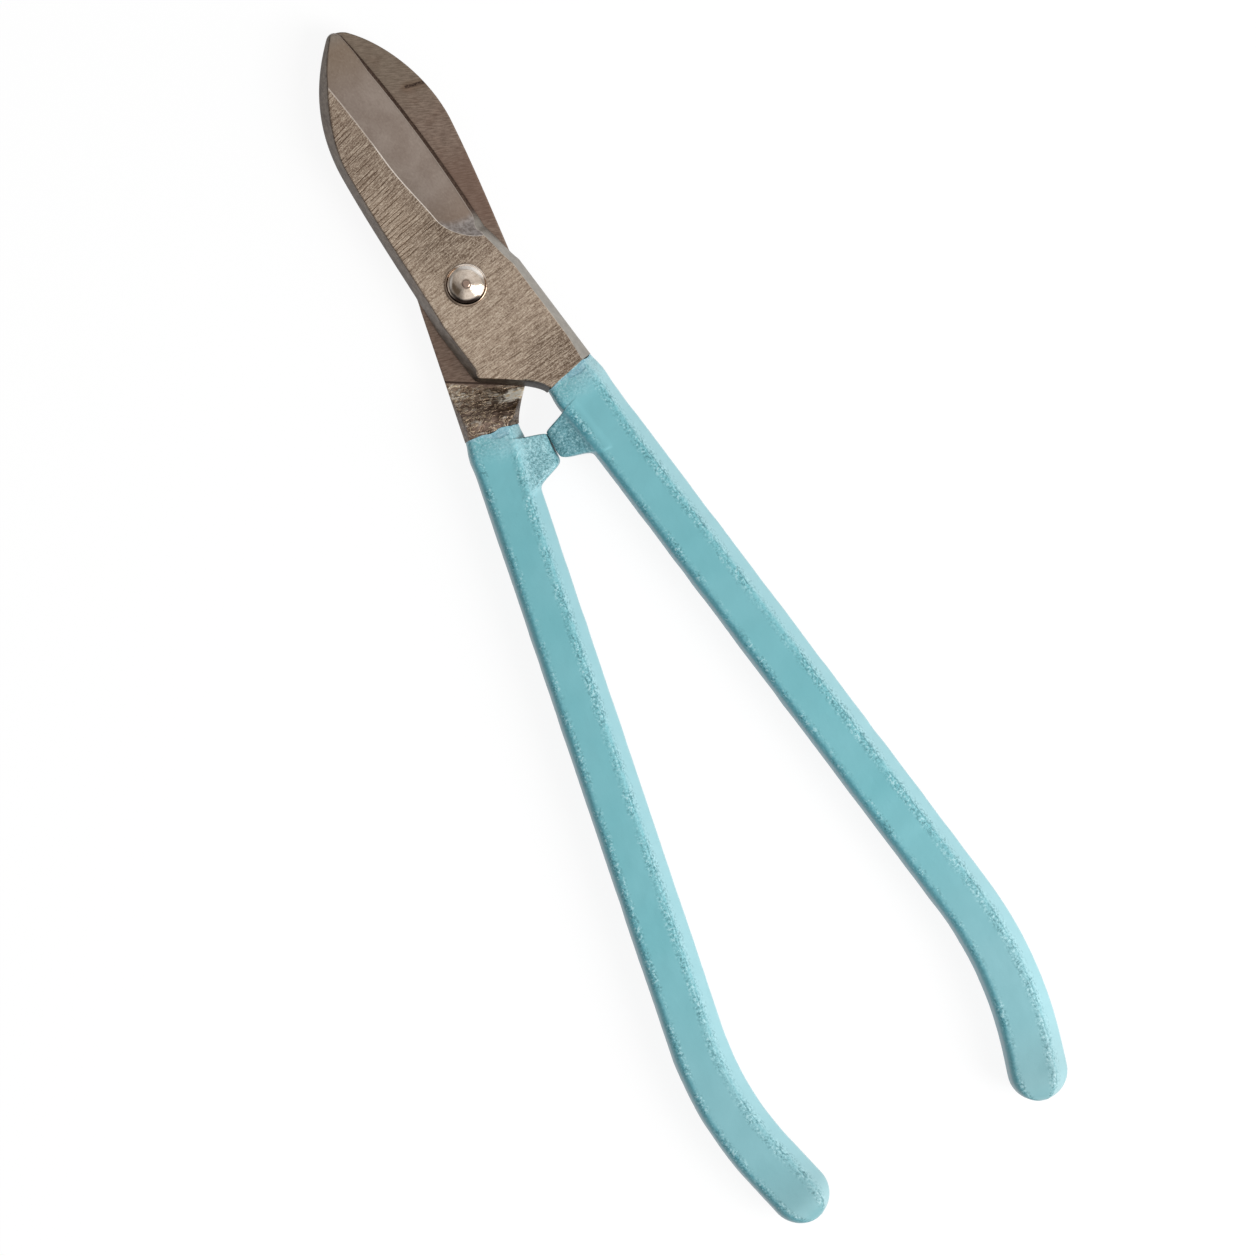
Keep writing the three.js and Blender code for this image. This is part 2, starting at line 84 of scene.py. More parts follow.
# Ground bevel
BEVEL_WIDTH = 6.45
BEVEL_HOLLOW = 0.12
EDGE_THICKNESS = 0.9
HEEL_WIDTH_SHARE = 0.78
BEVEL_GROWTH = 14.0  # height above the heel over which the bevel grows to its full width
RUN_OUT_DROP = 1.45  # below the heel, where the slope that the wheel leaves as it lifts out has its start
RUN_OUT_SLANT = 0.127  # rise of that start per mm away from the heel
RUN_OUT_CURVE = 0.115  # and per mm squared
RUN_OUT_FALL = 0.64
RUN_OUT_SOFTNESS = 0.5
RIDGE_ROUND = 0.045
NOSE_EDGE = (0.17 * EDGE_HEEL, 0.982 * BLADE_REACH)
ARRIS = 0.11
KEEN_ARRIS = 0.03
FOOT_LEAN = 0.44  # of the side at the plate's foot
FOOT_RUN = 1.6
GRIND_SLANTS = (7.0, 18.0)  # slant of the grinding marks at the plate's foot and at the tip
NICK_LINE = [(-5.7, 28.65), (-8.2, 28.12)]
WHERE_NONE = {"gap": -1.0, "lean": -1.0, "run": -1.0, "start": -1.0, "nick": 9.0}  # marks on the other faces

# Ramp under the shank
RAMP_ANGLE = 30.0
RAMP_CLEARANCE = 0.1
RAMP_TAIL = 0.8  # between the ramp's end and the coat's mouth
WINDOW_LEAN = 0.45  # of the lower side towards the window between the handles
FORGED_LUMP = 0.05
FORGED_FURROW = 0.05
FURROW_SLANT = 0.58
MOUTH_SHADOW = 0.06  # between the full shank and the coat's lip

# Handle
GRIP_WIDTH = 8.2
GRIP_SWELL = 0.4
GRIP_THICKNESS = 6.3
BROAD_BAND = 2.05
NARROW_BAND = 1.05
MOUTH_BAND_SHARE = 0.72
BAND_RUN = 14.0  # behind the mouth, over which the slopes widen to their bands
BEND_START = 107.5  # below the rivet
BEND_ANGLE = 24.5
COAT_WALL = 0.5
TANG_INSET = 0.75
STEEL_STEP = 0.12  # by which the bare shank is slimmer than the coat at each side
TANG_ROWS = 46
TANG_END_ROWS = 8

# Stop lugs
LUG_TIP_LENGTH = 4.6
LUG_ROOT_LENGTH = 6.7
LUG_THICKNESS = 4.6
LUG_SLANT = 0.12  # both tips slant alike, so that they meet flush
LUG_FALL = 5.0
LUG_SPAN = 8.0  # along the handle, both ways, past which there is no lug
LUG_FADE = (0.15, 0.4)  # how far a ray leans to the lug's side before it finds the lug, and over what lean
LUG_RINGS = (5.4, 6.0)  # how far before and behind the lug's level the coat's rings stand close together
FAR_RAY = 30.0  # stands for a ray that meets no flat of the lug

# Coat
NARROW_SHARE = 0.6  # part of the narrow slope before it steepens
NARROW_SLANT = 48.0
SECTION_SHARPNESS = 38.0  # power of the mean that joins the flats: the higher, the sharper the ridges
LUG_SHARPNESS = 14.0
ROOT_SHARPNESS = 7.0
AROUND = 128  # points round a handle
LIP_ROWS, LUG_ROWS, GRIP_ROWS = 16, 170, 300
NOSE_ROWS = 26
INNER_NOSE_ROWS = 9
INNER_ROWS = 40
LIP_TAPER = 1.7
LIP_DROP = 0.1
LIP_SWELL = 0.17
LIP_MIDDLE = 2.7  # the swell's place behind the mouth
LIP_SPREAD = 1.5
LIP_WAVER = 0.2
LIP_EDGE = [(0.12, 0.42), (-0.02, 0.42), (-0.06, 0.3)]  # distance behind the mouth and below the skin
COAT_LUMP = 0.03
COAT_LUMP_SIZE = 2.6
COAT_GRAIN = 0.014
COAT_GRAIN_SIZE = 0.8
COAT_CREASE = 60.0

# Rivet
RIVET_RADIUS = 2.0
HEAD_RADIUS = 3.0
HEAD_RIM = 0.3
HEAD_HEIGHT = 1.3
PIP_RADIUS = 0.6
PIP_HEIGHT = 0.15
SET_RADIUS = 2.9
SET_HEIGHT = 1.1
FOOT_RADIUS = 0.9
HEAD_CLEARANCE = 0.12
HEAD_SHIFT = 0.14  # the dome sits off the middle of its rim by this, up and to the right in the picture
HEAD_SHIFT_WAY = 40.0
HAMMER_DENT = 0.03
TURNS = 128  # points round the rivet
POLE_REACH = 0.001

# Studio
WORLD_LIGHT = 0.42
GLOSS_LEVEL = 0.5  # what gloss sees of the world away from the cards
GLOSS_CARDS = [  # bearing clockwise from the picture's up, height, inner and outer reach in degrees, light
    (0, 90, 34, 62, 0.56),
    (85, 25, 10, 100, 0.3),
    (122, 40, 10, 24, 1.1),
    (182, 40, 10, 30, 0.3),
    (240, 44, 12, 42, -0.4),
]
LAMPS = [  # name, bearing and height in degrees, distance and size in metres, power in watts
    ("key", 110, 46, 0.7, 0.36, 3.2),
    ("low", 108, 20, 0.6, 0.4, 1.3),
]
FLOOR_SHADE = 0.8
FLOOR_GLOW = 0.9
FLOOR_DIM = 0.13  # how pale the floor is under its glow, so that it still takes the shadow
FLOOR_SIZE = 4.0
PICTURE_TURN = math.radians(28.07)  # the part's +Y leans left of the picture's upright by this
PICTURE_CENTRE = Vector((-2.51, -52.75, 6.0)) * MM
PICTURE_WIDTH = 175.27 * MM
LENS = 150.0
SENSOR = 36.0
CLIP = (0.01, 10.0)  # metres

# What differs between the halves. The nose is given in shares of the spine's width and of the blade's reach.
FRONT = {
    "spine": 8.2, "nose": (-0.115, 0.994), "nose_pull": (-0.695, 0.868),
    "plate_side": 6.55, "throat_swell": 0.45,
    "grip_offset": 4.28, "grip_angle": 8.95, "bend_radius": 55.0, "reach": 138.3,
    "mouth": 17.45, "mouth_slant": 5.0, "lug_level": 24.95, "lug_reach": 0.4, "lug_shade": 0.7, "seed": 11,
}
BACK = {
    "spine": 9.1, "nose": (-0.2, 0.985), "nose_pull": (-0.62, 0.9),
    "plate_side": 7.3, "throat_swell": 0.0,
    "grip_offset": 3.2, "grip_angle": 9.45, "bend_radius": 48.0, "reach": 137.8,
    "mouth": 19.8, "mouth_slant": -2.0, "lug_level": 25.8, "lug_reach": -0.1, "lug_shade": 0.45, "seed": 23,
}


# Numbers

def ease(t):
    """0 below 0, 1 above 1, and 3t^2 - 2t^3 between."""
    t = np.clip(t, 0, 1)
    return t * t * (3 - 2 * t)


def blend(a, b, t):
    """a at share 0 and b at share 1, in a straight line."""
    return a + (b - a) * t


def soft_min(a, b, reach):
    """The lower of two heights. Where they differ by less than the reach, a parabola rounds the corner."""
    near = np.maximum(reach - np.abs(a - b), 0) / reach
    return np.minimum(a, b) - near * near * reach / 4


def soft_max(a, b, reach):
    """The higher of two heights, rounded as soft_min is."""
    return -soft_min(-a, -b, reach)


def bezier(points, count):
    """Points on a Bezier curve: each control point times its Bernstein weight at the share along."""
    points = np.asarray(points, float)
    last = len(points) - 1
    t = np.linspace(0, 1, count)[:, None]
    return sum(math.comb(last, k) * t**k * (1 - t) ** (last - k) * p for k, p in enumerate(points))


def lattice_noise(x, y, size, seed):
    """A smooth random height from -1 to 1: random numbers on a square lattice, blended at each point from the
    four round it with the weights of ease()."""
    table = np.random.default_rng(seed).uniform(-1, 1, (LATTICE, LATTICE))
    u, v = x / size, y / size
    i, j = np.floor(u).astype(int), np.floor(v).astype(int)
    a, b = ease(u - i), ease(v - j)

    def at(p, q):
        return table[(i + p) % LATTICE, (j + q) % LATTICE]

    return blend(blend(at(0, 0), at(1, 0), a), blend(at(0, 1), at(1, 1), a), b)


def bell(a, b, a_reach, b_reach):
    """1 where both offsets are nought, and less by a bell curve over the reach of each."""
    return np.exp(-((a / a_reach) ** 2) - (b / b_reach) ** 2)


def distance_to(line, x, y):
    """Each point's distance to a polyline: the least over its segments of the distance to the nearest point
    on the segment, whose share along is the dot product with the segment, held between 0 and 1."""
    shape = np.shape(x)
    p = np.stack([np.ravel(x), np.ravel(y)], 1)
    best = np.full(len(p), np.inf)
    for a, b in zip(line[:-1], line[1:]):
        d = b - a
        t = np.clip(((p - a) @ d) / max(d @ d, 1e-12), 0, 1)
        best = np.minimum(best, np.linalg.norm(p - a - t[:, None] * d, axis=1))
    return best.reshape(shape)


# Meshes

def grid_faces(rows, columns, closed, first=0):
    """Quads over a grid of points numbered row by row. A closed grid also joins its last column to its
    first."""
    i, j = np.meshgrid(np.arange(rows - 1), np.arange(columns if closed else columns - 1), indexing="ij")
    k = (j + 1) % columns
    quads = np.stack([i * columns + j, i * columns + k, (i + 1) * columns + k, (i + 1) * columns + j], -1)
    return quads.reshape(-1, 4) + first


def turned_over(points):
    """A half turn about +Y: x and z change sign."""
    return points * np.array([-1, 1, -1])


def close_poles(mesh):
    """Makes one point of those that stand closer together than the reach, as the ring at a pole does."""
    whole = bmesh.new()
    whole.from_mesh(mesh)
    bmesh.ops.remove_doubles(whole, verts=whole.verts, dist=POLE_REACH * MM)
    whole.to_mesh(mesh)
    whole.free()


def mesh_object(name, points, faces, values, material, crease, poles=False):
    """A mesh from points in millimetres. Its faces are turned to point outwards, which is where the sum of
    the signed volumes under its triangles is positive. Each of the values becomes a point attribute. An edge
    that turns by more than the crease stays sharp."""
    points = points + np.array([0, 0, REST_HEIGHT])
    a, b, c, d = (points[faces[:, k]] for k in range(4))
    volume = np.einsum("ij,ij->", a, np.cross(b, c)) + np.einsum("ij,ij->", a, np.cross(c, d))
    if volume < 0:
        faces = faces[:, ::-1]
    mesh = bpy.data.meshes.new(name)
    mesh.from_pydata((points * MM).tolist(), [], faces.tolist())
    for key, value in values.items():
        kind, field = ("FLOAT_VECTOR", "vector") if np.ndim(value) == 2 else ("FLOAT", "value")
        layer = mesh.attributes.new(key, kind, "POINT")
        layer.data.foreach_set(field, np.ravel(value).astype(np.float32))
    if poles:
        close_poles(mesh)
    mesh.validate()
    mesh.polygons.foreach_set("use_smooth", np.ones(len(mesh.polygons), bool))
    mesh.set_sharp_from_angle(angle=math.radians(crease))
    mesh.materials.append(material)
    made = bpy.data.objects.new(name, mesh)
    bpy.context.scene.collection.objects.link(made)
    return made


# Handle

def grip_station(half, distance):
    """Centre line of a handle: straight at its splay, then an arc of one radius, then straight. Gives x, y
    and the splay at each distance along it from the rivet's level."""
    splay = math.radians(half["grip_angle"])
    radius = half["bend_radius"]
    straight = np.minimum(distance, BEND_START / math.cos(splay))
    turn = np.minimum((distance - straight) / radius, math.radians(BEND_ANGLE))
    tail = distance - straight - radius * turn
    angle = splay - turn
    across = radius * (np.cos(angle) - math.cos(splay)) + tail * np.sin(angle)
    down = radius * (math.sin(splay) - np.sin(angle)) + tail * np.cos(angle)
    x = half["grip_offset"] + straight * math.sin(splay) + across
    return x, -straight * math.cos(splay) - down, angle


def along_grip(half, drop):
    """Distance along the handle of a level below the rivet."""
    return drop / math.cos(math.radians(half["grip_angle"]))


def grip_edge(half, side, drop, inset):
    """The x of the handle's edge at a level below the rivet: the centre line and half the width across it."""
    x = grip_station(half, along_grip(half, drop))[0]
    return x + side * (GRIP_WIDTH / 2 - inset) / math.cos(math.radians(half["grip_angle"]))


def grip_end(half):
    """Distance along the handle of its very end."""
    bend_end = along_grip(half, BEND_START) + half["bend_radius"] * math.radians(BEND_ANGLE)
    _, y, angle = grip_station(half, np.array(bend_end))
    return bend_end + (half["reach"] + y) / math.cos(angle)


def grip_planes(half_width, share, inset):
    """The ten flats of a handle's section as outward normals and distances: top, bottom, two short uprights,
    and on each half a broad slope on one side and, on the other, a narrow one that steepens part of the way
    down. A flat through a point that falls by the drop over the run has the normal (drop, run) over its
    length."""
    broad, narrow, h = BROAD_BAND * share, NARROW_BAND * share, GRIP_THICKNESS / 2
    rise = h - SIDE_LAND
    upper = NARROW_SHARE * narrow
    fall = upper * math.tan(math.radians(NARROW_SLANT))
    one, none = np.ones_like(half_width), np.zeros_like(half_width)

    def flat(side, run, drop, x, y):
        size = np.hypot(run, drop)
        return side * drop / size * one, run / size * one, (drop * x + run * y) / size

    flats = [
        (none, one, h * one),
        (one, none, half_width),
        flat(1, broad, rise, half_width, SIDE_LAND),
        flat(-1, upper, fall, half_width - narrow, h),
        flat(-1, narrow - upper, rise - fall, half_width, SIDE_LAND),
    ]
    flats += [(-a, -b, c) for a, b, c in flats]
    return [(a, b, c - inset) for a, b, c in flats]


def section_reach(planes, across, up):
    """How far a ray from the section's middle reaches: one over the power mean of each flat's share of it,
    which is the ray's dot product with the flat's normal over the flat's distance."""
    total = sum(np.maximum((a * across + b * up) / c, 0) ** SECTION_SHARPNESS for a, b, c in planes)
    return total ** (-1 / SECTION_SHARPNESS)


def lug_reach(half, x, y, angle, across, up):
    """How far the same ray reaches in the stop lug, a block with two tapering sides, a top and a bottom that
    fall towards the tip and a tip that slants to match the other lug's: the power mean over its flats, each
    measured from where the ray starts. Where it starts beyond a flat there is no lug, and it fades to nothing
    as the ray turns away from the side it stands on."""
    tip, h = half["lug_reach"], LUG_THICKNESS / 2
    edge = grip_edge(half, -1, half["lug_level"], 0)
    taper = (LUG_ROOT_LENGTH - LUG_TIP_LENGTH) / 2
    width = edge - tip
    slope = np.hypot(taper, width)
    lean = np.hypot(1, LUG_SLANT)
    sine, cosine = math.sin(math.radians(LUG_FALL)), math.cos(math.radians(LUG_FALL))
    flats = [((-1 / lean, 0, -LUG_SLANT / lean), -tip / lean)]
    for side in (1, -1):
        corner = -taper * tip + width * (LUG_TIP_LENGTH / 2 - side * half["lug_level"])
        flats.append(((-taper / slope, side * width / slope, 0), corner / slope))
        flats.append(((-sine, 0, side * cosine), h * cosine - edge * sine))
    dx, dy = across * np.cos(angle), across * np.sin(angle)
    total = 0
    for (nx, ny, nz), reach in flats:
        left = np.maximum(reach - nx * x - ny * y, 1e-3)
        total = total + np.maximum((nx * dx + ny * dy + nz * up) / left, 0) ** LUG_SHARPNESS
    reach = np.minimum(np.maximum(total, 1e-30) ** (-1 / LUG_SHARPNESS), FAR_RAY)
    return reach * ease((-across - LUG_FADE[0]) / LUG_FADE[1]) * (np.abs(y + half["lug_level"]) < LUG_SPAN)


def coat_rows(half, mouth, end, nose):
    """Distances along the handle at which the coat has a ring, closest together over the lip and the lug."""
    lug = along_grip(half, half["lug_level"])
    first, last = max(lug - LUG_RINGS[0], mouth + 0.6), lug + LUG_RINGS[1]
    return np.concatenate([
        np.linspace(mouth, first, LIP_ROWS, endpoint=False),
        np.linspace(first, last, LUG_ROWS, endpoint=False),
        np.linspace(last, end - nose, GRIP_ROWS, endpoint=False),
    ])


def skin_noise(s, across, up, size, seeds):
    """Lattice noise that wraps round a handle: one over the distance along and the ray's height, and one over
    the distance and the ray's reach to the side, added."""
    upright = lattice_noise(s + 0 * up, 4 * up, size, seeds[0])
    return upright + lattice_noise(s + 0 * across, 4 * across, size, seeds[1])


def coat_mesh(half):
    """The dip coat. A ring at each distance along the handle is a ray round the section's middle, as long as
    the power mean of the section and the lug. The rings start inside, turn over the lip and run to the end,
    where width and height shrink with the cosine of a quarter turn and its root. A swollen lip, lumps and a
    wavering mouth are added to the ray. Gives the points, their marks for the material, and the faces. The
    marks are broad and narrow, the distances past the edges of the two slopes; mouth, the distance behind it;
    and lug and shade, the shares of the lug and of its shadow."""
    mouth, end = along_grip(half, half["mouth"]), grip_end(half)
    bend = along_grip(half, BEND_START)
    nose = (GRIP_WIDTH + GRIP_SWELL) / 2
    theta = ((np.arange(AROUND) + 0.5) * TAU / AROUND)[None, :]
    seed = half["seed"]

    def rings(distance, turn, inset, outside, lug):
        s = distance[:, None]
        width_share, height_share = np.cos(turn)[:, None], np.sqrt(np.cos(turn))[:, None]
        across, up = np.cos(theta) + 0 * s, np.sin(theta) + 0 * s
        x, y, angle = grip_station(half, s)
        half_width = GRIP_WIDTH / 2 + GRIP_SWELL / 2 * ease((s - bend) / (end - bend))
        share = blend(MOUTH_BAND_SHARE, 1, ease((s - mouth) / BAND_RUN))
        plain = section_reach(grip_planes(half_width, share, inset), across, up)
        reach = plain
        if lug:
            bulge = lug_reach(half, x, y, angle, across, up)
            reach = (plain**ROOT_SHARPNESS + bulge**ROOT_SHARPNESS) ** (1 / ROOT_SHARPNESS)
        lugness = ease((reach - plain - 0.1) / 0.5)
        t = s - mouth
        if outside:
            lump = skin_noise(s, across, up, COAT_LUMP_SIZE, (seed, seed + 5))
            grain = skin_noise(s, across, up, COAT_GRAIN_SIZE, (seed + 6, seed + 7))
            reach = reach + COAT_LUMP * lump + COAT_GRAIN * grain * (0.4 + lugness)
            swell = LIP_SWELL * np.exp(-(((t - LIP_MIDDLE) / LIP_SPREAD) ** 2))
            reach = reach + swell - LIP_DROP * (1 - ease(t / LIP_TAPER))
        waver = LIP_WAVER * lattice_noise(3 * up, 3 * across, 1.3, seed + 1) * np.clip(1 - t / 4, 0, 1)
        fade = np.clip(1 - t / BAND_RUN, 0, 1)
        shift = waver - across * reach * math.tan(math.radians(half["mouth_slant"])) * fade
        a = across * reach * width_share
        points = np.stack([
            x + a * np.cos(angle) + shift * np.sin(angle),
            y + a * np.sin(angle) - shift * np.cos(angle),
            up * reach * height_share,
        ], -1)
        signed = across * reach * np.sign(up)
        return points, {
            "broad": signed - half_width + BROAD_BAND * share,
            "narrow": -signed - half_width + NARROW_BAND * share,
            "mouth": np.clip(t, -1, 20) + 0 * theta,
            "lug": lugness,
            "shade": lugness * half["lug_shade"],
        }

    body = coat_rows(half, mouth, end, nose)
    quarter = np.linspace(0, math.pi / 2, NOSE_ROWS)[1:]
    inner = np.linspace(math.pi / 2, 0, INNER_NOSE_ROWS)[:-1]
    lining = np.linspace(end - nose, mouth + 0.5, INNER_ROWS)
    flat = np.zeros_like
    parts = [
        rings(end - nose + (nose - COAT_WALL) * np.sin(inner), inner, COAT_WALL, False, False),
        rings(lining, flat(lining), COAT_WALL, False, False),
        *(rings(mouth + np.array([behind]), np.zeros(1), below, False, False) for behind, below in LIP_EDGE),
        rings(body, flat(body), 0, True, True),
        rings(end - nose + nose * np.sin(quarter), quarter, 0, True, False),
    ]
    points = np.concatenate([part[0] for part in parts])
    values = {key: np.concatenate([part[1][key] for part in parts]).ravel() for key in parts[0][1]}
    return points.reshape(-1, 3), values, grid_faces(len(points), AROUND, True)


def build_coat(name, half, over, material):
    """The coat's rings as one closed mesh."""
    points, values, faces = coat_mesh(half)
    points = turned_over(points) if over else points
    return mesh_object(name, points, faces, values, material, COAT_CREASE, poles=True)


# Forged half

def plan_sides(half):
    """The plan's two sides from the nose down, and the nose itself, as points along Bezier curves and
    lines."""
    spine, side = half["spine"], half["plate_side"]
    drop, deep = half["mouth"] + THROAT_RUN, half["mouth"] + THROAT_DEPTH

    def blade(x, y):
        return x * spine, y * BLADE_REACH

    heel = (EDGE_HEEL, HEEL_RISE)
    edge = [NOSE_EDGE, (0.6 * EDGE_HEEL, 0.725 * BLADE_REACH), (0.9 * EDGE_HEEL, 0.4 * BLADE_REACH), heel]
    shoulder = (grip_edge(half, 1, 0, STEEL_STEP), 0)
    bend = [(blend(EDGE_HEEL, shoulder[0], a), b * HEEL_RISE) for a, b in ((0.47, 0.62), (0.63, 0.24))]
    right = [
        bezier(edge, 70),
        bezier([heel, *bend, shoulder], 24)[1:],
        [(grip_edge(half, 1, deep, STEEL_STEP), -deep)],
    ]

    back = blade(*half["nose"])
    waist = 0.3 * PLATE_DROP
    corner = (-PLATE_CORNER, -PLATE_DROP)
    foot = (-FOOT_SHARES[0] * PLATE_CORNER, -FOOT_SHARES[1] * PLATE_DROP)
    above = (blend(-side, -PLATE_CORNER, 0.93), blend(-waist, -PLATE_DROP, 0.95))
    beyond = (blend(-PLATE_CORNER, foot[0], 0.16), blend(-PLATE_DROP, foot[1], 0.16))
    throat = [
        (grip_edge(half, -1, level, STEEL_STEP) - swell * half["throat_swell"], -level)
        for level, swell in ((drop - THROAT_LEAD, 1.0), (drop, 0.4))
    ]
    left = [
        bezier([back, blade(*half["nose_pull"]), blade(-1, 0.725), blade(-1, 0.55)], 50),
        bezier([blade(-1, 0.55), blade(-0.97, 0.3), (-1.06 * side, waist), (-side, -waist)], 50)[1:],
        bezier([(-side, -waist), above], 12)[1:],
        bezier([above, corner, beyond], 8)[1:],
        bezier([corner, foot, *throat], 40)[3:],
        [(grip_edge(half, -1, deep, STEEL_STEP), -deep)],
    ]
    return np.concatenate(left), np.concatenate(right), bezier([NOSE_EDGE, blade(0.016, 1.015), back], 24)


def x_on(side, y):
    """The x of a side of the plan at each level, in a straight line between its points."""
    order = np.argsort(side[:, 1])
    return np.interp(y, side[order, 1], side[order, 0])


def face_at(y):
    """Height of the ground face: level to the heel, then a straight fall to the tip."""
    return FACE_LEVEL - TIP_THINNING * np.maximum(y - HEEL_RISE, 0) / (BLADE_REACH - HEEL_RISE)


def bevel_width(y):
    """Ridge to cutting edge: it grows with ease() from its share at the heel to the full width."""
    return BEVEL_WIDTH * blend(HEEL_WIDTH_SHARE, 1, ease((y - HEEL_RISE) / BEVEL_GROWTH))


def bevel_heights(right, x, y):
    """What the wheel leaves: a straight line in the section from the ridge to the cutting edge, less a hollow
    of 4h s (1 - s). Round the heel the wheel lifts out in a slope of its own, which starts on a line that
    curves up from the heel as a square. Gives both heights joined, and how far the slope is above the
    rest."""
    share = (x_on(right, y) - x) / bevel_width(y)
    hollow = 4 * BEVEL_HOLLOW * share * (1 - np.clip(share, 0, 1))
    ground = blend(HALF_JAW + EDGE_THICKNESS, face_at(y), share) - np.maximum(hollow, 0)
    run = EDGE_HEEL - x
    start = HEEL_RISE - RUN_OUT_DROP + RUN_OUT_SLANT * run + RUN_OUT_CURVE * run * np.abs(run)
    slope = FACE_LEVEL - RUN_OUT_FALL * (y - start)
    return soft_max(ground, slope, RUN_OUT_SOFTNESS), slope - ground


def ramp_height(half, x, y):
    """The lower side of the shank, which falls from the joint plane to the handle's lower face with ease() of
    the share of the way from the ramp's first line, slanted like the other plate's edge, to its last. Gives
    the height, the share and how far past the first line a point is."""
    slope = math.radians(RAMP_ANGLE)
    after = (x - PLATE_CORNER) * math.sin(slope) - (y + PLATE_DROP + RAMP_CLEARANCE) * math.cos(slope)
    ahead = np.maximum(ahead_of_mouth(half, x, y) - RAMP_TAIL, 0)
    share = np.where(after < 0, 0, np.clip(after / np.maximum(after + ahead, 1e-3), 0, 1))
    return blend(HALF_JAW, -GRIP_THICKNESS / 2, ease(share)), share, after


def ahead_of_mouth(half, x, y):
    """How far a point is towards the rivet from the coat's mouth, along the handle."""
    px, py, angle = grip_station(half, np.array(along_grip(half, half["mouth"])))
    return (y - py) * np.cos(angle) - (x - px) * np.sin(angle)


def rounded(d, radius):
    """How far a surface falls away at an edge: the gap between a quarter circle and its tangent."""
    inside = np.clip(radius - d, 0, radius)
    return radius - np.sqrt(radius * radius - inside * inside)


def cosine_steps(count):
    """Shares from 0 to 1, close together at both ends."""
    return 0.5 - 0.5 * np.cos(np.linspace(0, math.pi, count))


def half_rows(half, left, right):
    """Levels of each row of the blade, plate and shank on its two sides: level rows that turn, towards the
    coat's mouth, until they lie along it, and lean at the nose to meet its two ends."""
    stop = along_grip(half, half["mouth"]) - MOUTH_SHADOW
    _, cy, splay = (float(value) for value in grip_station(half, np.array(stop)))
    marks = [*ROW_LEVELS, cy]
    spans = [np.linspace(a, b, n, endpoint=False) for a, b, n in zip(marks, marks[1:], ROW_COUNTS)]
    y = np.concatenate([*spans, [cy]])
    tilt = math.tan(splay + math.radians(half["mouth_slant"])) * ease((-y - 4) / (-cy - 4))
    centre = half["grip_offset"] - y * math.tan(math.radians(half["grip_angle"]))
    high = np.clip((y - NOSE_ROW + NOSE_RUN) / NOSE_RUN, 0, 1) ** 2
    yr, yl = y.copy(), y.copy()
    for _ in range(8):
        yr = y + (x_on(right, yr) - centre) * tilt
        yl = y + (x_on(left, yl) - centre) * tilt
    return yl + (left[0, 1] - NOSE_ROW) * high, yr + (NOSE_EDGE[1] - NOSE_ROW) * high, high


def plan_grid(half, left, right, crown):
    """Where the rows' points stand: shares of the way from the left side to the right one, close together at
    the side's slope, the ridge and the cutting edge. Near the nose the rows take up the crown's curve."""
    yl, yr, high = half_rows(half, left, right)
    xl, xr = x_on(left, yl), x_on(right, yr)
    xl[0], xr[0] = left[0, 0], right[0, 0]
    width = xr - xl
    steep = np.clip(np.hypot(1, np.gradient(xl, yl)), 1, 3)
    first = np.clip(SIDE_LEAN * steep / width, 0.02, 0.3)
    ridge_x = blend(blend(xl, xr, 0.55), xr - bevel_width(yr), ease((yr - 1) / 6))
    ridge = np.clip((ridge_x - xl) / width, first + 0.06, 0.9)
    last = blend(1 - 1.3 / width, np.clip(1 - 0.55 / width, 0.6, 0.97), ease((yr - 3) / 3))
    last = np.maximum(last, ridge + 0.05)
    bounds = [0 * first, first, ridge, last, 0 * last + 1]
    spans = zip(bounds, bounds[1:], COLUMN_COUNTS)
    shares = [a[:, None] + (b - a)[:, None] * cosine_steps(n)[None, : n - 1] for a, b, n in spans]
    shares = np.concatenate([*shares, np.ones((len(xl), 1))], 1)
    steps = np.linspace(0, 1, len(crown))
    pull = (high**3)[:, None]
    x = blend(xl[:, None], xr[:, None], shares)
    y = blend(yl[:, None], yr[:, None], shares)
    x = x + pull * (np.interp(1 - shares, steps, crown[:, 0]) - blend(left[0, 0], right[0, 0], shares))
    y = y + pull * (np.interp(1 - shares, steps, crown[:, 1]) - blend(left[0, 1], right[0, 1], shares))
    return x, y, shares


